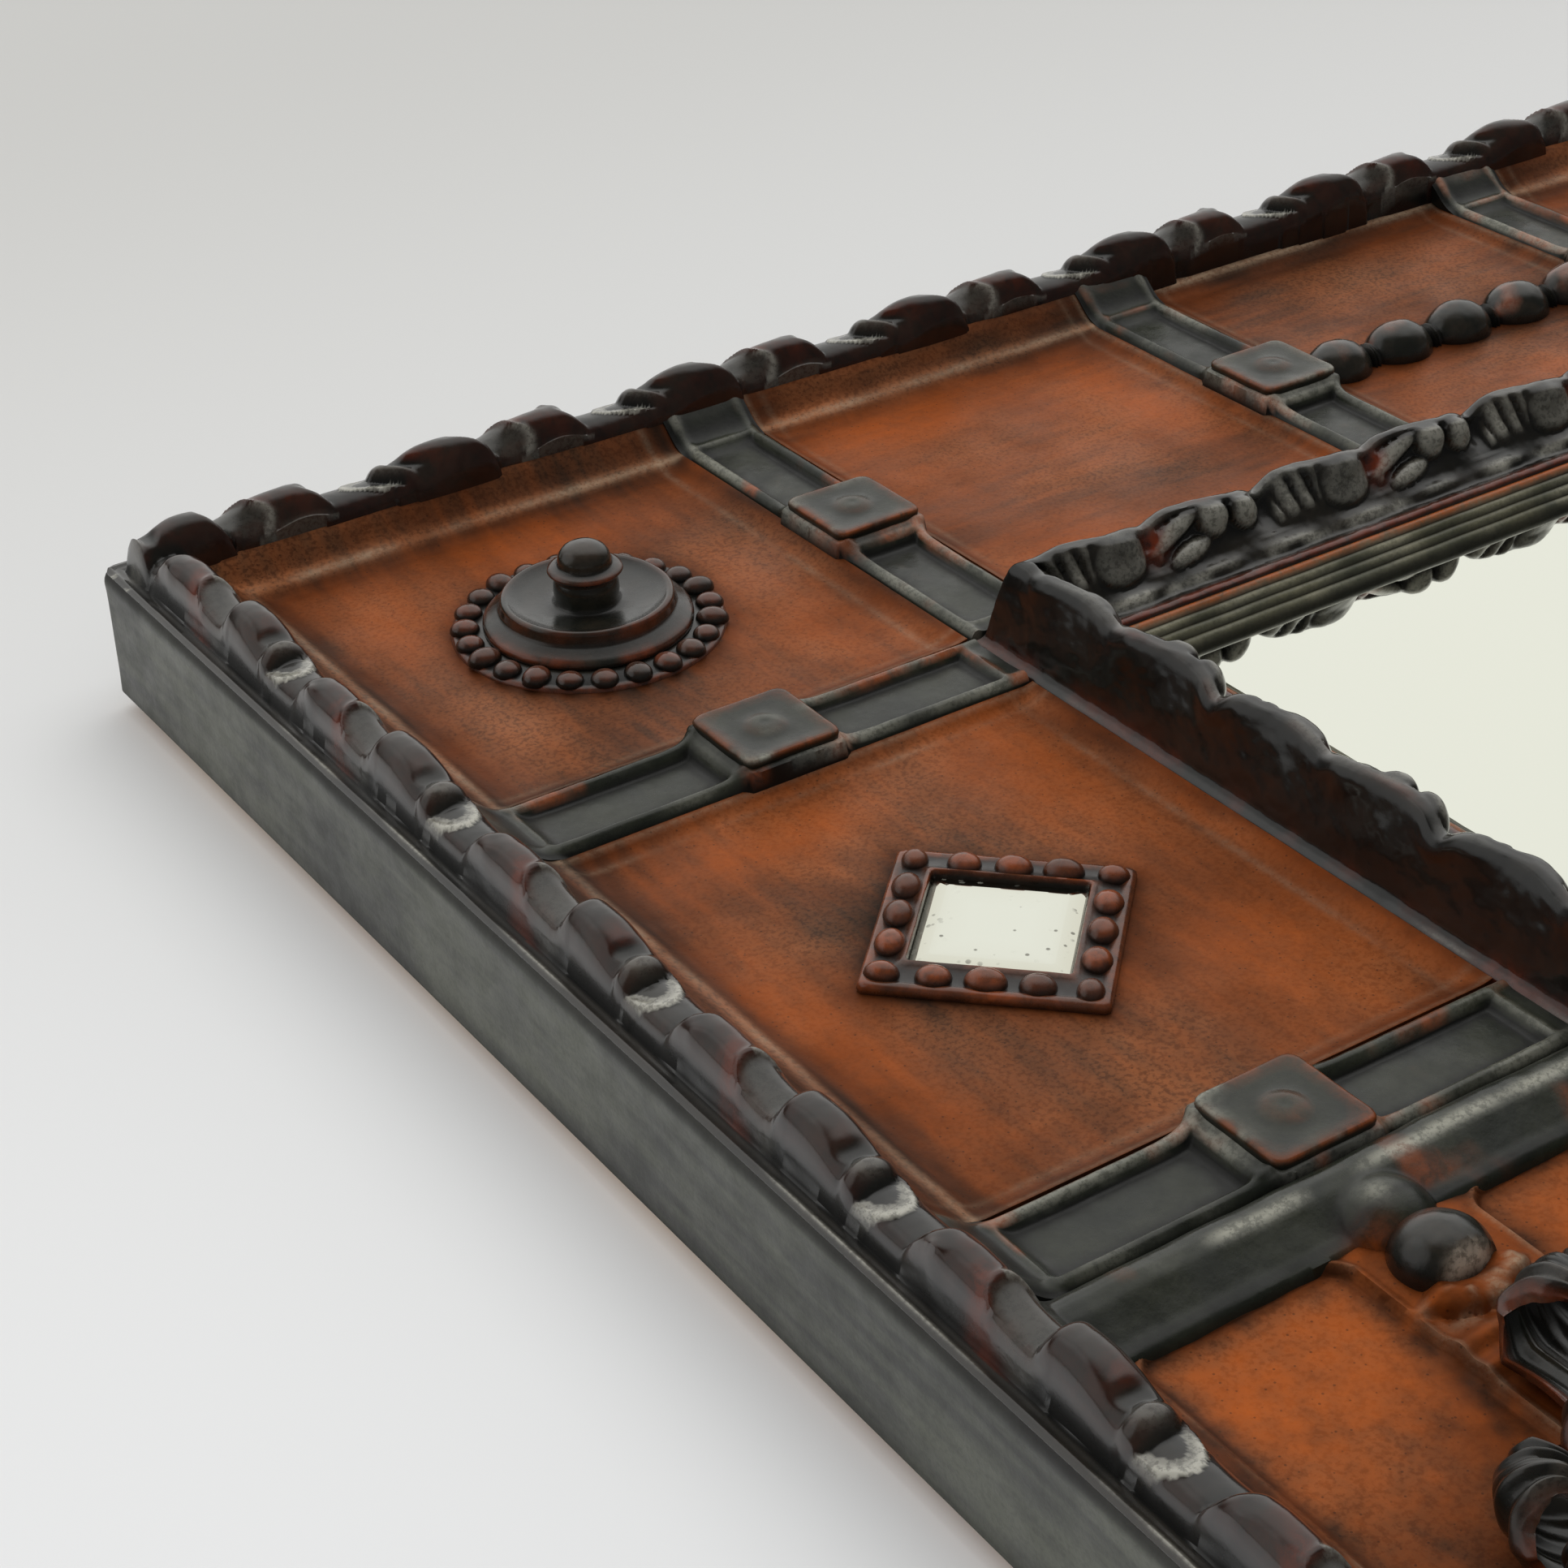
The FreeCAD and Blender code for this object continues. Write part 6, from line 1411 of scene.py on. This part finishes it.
# Each side's second and fourth panels, from its start, by the ends that they lie nearer to.
ENDS = {"left": ("upper", "lower"), "right": ("lower", "upper"),
        "bottom": ("left", "right"), "top": ("right", "left")}
for number, side in enumerate(SIDES):
    tall = side in TALL
    kind = "mirror" if tall else "plain"
    start, stop = strap_starts(side)[0] + STRAP, strap_starts(side)[1]
    span = stop - start
    for end, along in zip(ENDS[side], (start, LENGTHS[side] - start - span)):
        panel("%s_sheet_%s_%s" % (kind, side, end), "%s_panel_%s_%s" % (kind, side, end), side, along, span,
              200 + number * 30 + (end in ("upper", "right")) * 7,
              [(along + 26, 130, 40, 14, 0.5), (along + span * 0.6, 42, 40, 10, 0.42),
               (along + span - 28, 124, 30, 20, 0.45), (along + 18, 70, 8, 30, 0.3)],
              near_bezel(along + span / 2) if tall else None)
    if tall:
        ornament_sheet(side)
        ornament_bars(side)
        cut_balls(side)
        rosette(side)
    else:
        panel("bead_sheet_" + side, "bead_panel_" + side, side, 309.9, 110.2, 300 + number * 9,
              [(365, 60, 40, 16, 0.15), (365, 120, 40, 16, 0.15)], near_rod, deep=True)
        bead_rod(side)


# Stage and light.
# Light on its way to a back this near isn't held up by the stage, in metres.
BACK_LIT_WITHIN = 0.012
# Level of the stage behind the frame, its half size and how far the frame covers it, in metres.
STAGE_LEVEL, STAGE_HALF, STAGE_COVERED = 0.0062, 6.0, 0.016


def stage_material(name, near, far):
    """Plain sheet, a little darker at its far end in painted shade, clear from behind and to light at a back
    near it.
    """
    m = Nodes(bpy.data.materials.new(name))
    place = m.add("SeparateXYZ", {0: m.coords})
    # Painted shade: the colour darkens towards the far end.
    shade = m.mix(m.ramp(place.outputs["Z"], -0.95, -0.05), far, near)
    diffuse = m.add("BsdfDiffuse", {"Color": shade})
    clear = m.add("BsdfTransparent")
    behind = m.add("NewGeometry").outputs["Backfacing"]
    path = m.add("LightPath").outputs
    close = m.math("SUBTRACT", m.math("LESS_THAN", path["Ray Length"], BACK_LIT_WITHIN),
                   path["Is Camera Ray"], clamp=True)
    return m.finish(m.add("MixShader", {0: m.math("MAXIMUM", behind, close), 1: diffuse.outputs[0],
                                        2: clear.outputs[0]}))


def add_stage():
    """The pale surface that the framed mirror lies on, open under its back so that light gets there."""
    mesh = bpy.data.meshes.new("pale_surface")
    edges = ((STAGE_HALF, STAGE_HALF), (CAD_BOX[1][0] - STAGE_COVERED, CAD_BOX[1][2] - STAGE_COVERED))
    corners = [(x * w, STAGE_LEVEL, z * h) for w, h in edges
               for x, z in ((-1, -1), (1, -1), (1, 1), (-1, 1))]
    mesh.from_pydata(corners, [], [(i, (i + 1) % 4, (i + 1) % 4 + 4, i + 4) for i in range(4)])
    floor = bpy.data.objects.new("pale_surface", mesh)
    bpy.context.scene.collection.objects.link(floor)
    mesh.materials.append(stage_material("pale_surface", srgb(233, 233, 232), srgb(200, 199, 195)))


def add_world():
    """Dim room with pale cards over, beside and behind the part, which only its bright metal reflects."""
    world = bpy.data.worlds.new("studio")
    bpy.context.scene.world = world
    m = Nodes(world, "World", "Generated")

    def card(direction, low, high, weakest, strongest):
        facing = m.add("VectorMath", {0: m.coords, 1: tuple(Vector(direction).normalized())},
                       operation="DOT_PRODUCT")
        return m.spread(facing.outputs["Value"], low, high, weakest, strongest)

    over = card((-0.42, -0.68, -0.60), 0.42, 0.9, 0.05, 1.0)
    beside = card((0.75, -0.45, -0.48), 0.80, 0.95, 0.0, 0.55)
    behind = card((0.25, 0.85, 0.45), 0.3, 0.9, 0.0, 0.7)
    cards = m.math("ADD", m.math("ADD", over, beside), behind)
    path = m.add("LightPath").outputs
    reflected = m.add("Background", {0: (0.91, 0.905, 0.883, 1.0), 1: cards})
    soft = m.add("Background", {0: (0.97, 0.98, 1.0, 1.0), 1: 0.58})
    seen = m.add("Background", {0: srgb(230, 231, 229), 1: 1.0})
    lit = m.add("MixShader", {0: path["Is Glossy Ray"], 1: soft.outputs[0], 2: reflected.outputs[0]})
    m.finish(m.add("MixShader", {0: path["Is Camera Ray"], 1: lit.outputs[0], 2: seen.outputs[0]}))


def add_lamp(name, place, target, size, power):
    data = bpy.data.lights.new(name, "AREA")
    data.shape = "SQUARE"
    data.size = size
    data.energy = power
    lamp = bpy.data.objects.new(name, data)
    bpy.context.scene.collection.objects.link(lamp)
    lamp.location = place
    lamp.visible_glossy = False
    lamp.rotation_mode = "QUATERNION"
    lamp.rotation_quaternion = (Vector(target) - Vector(place)).to_track_quat("-Z", "Y")


add_stage()
add_world()
add_lamp("key", (-0.5, -2.4, -0.6), (0.1, 0.0, -0.2), 2.4, 28.0)
add_lamp("fill", (1.3, -1.5, -0.9), (0.6, 0.0, -0.4), 1.2, 8.0)

scene = bpy.context.scene
scene.view_settings.view_transform = "Standard"

bpy.context.view_layer.update()
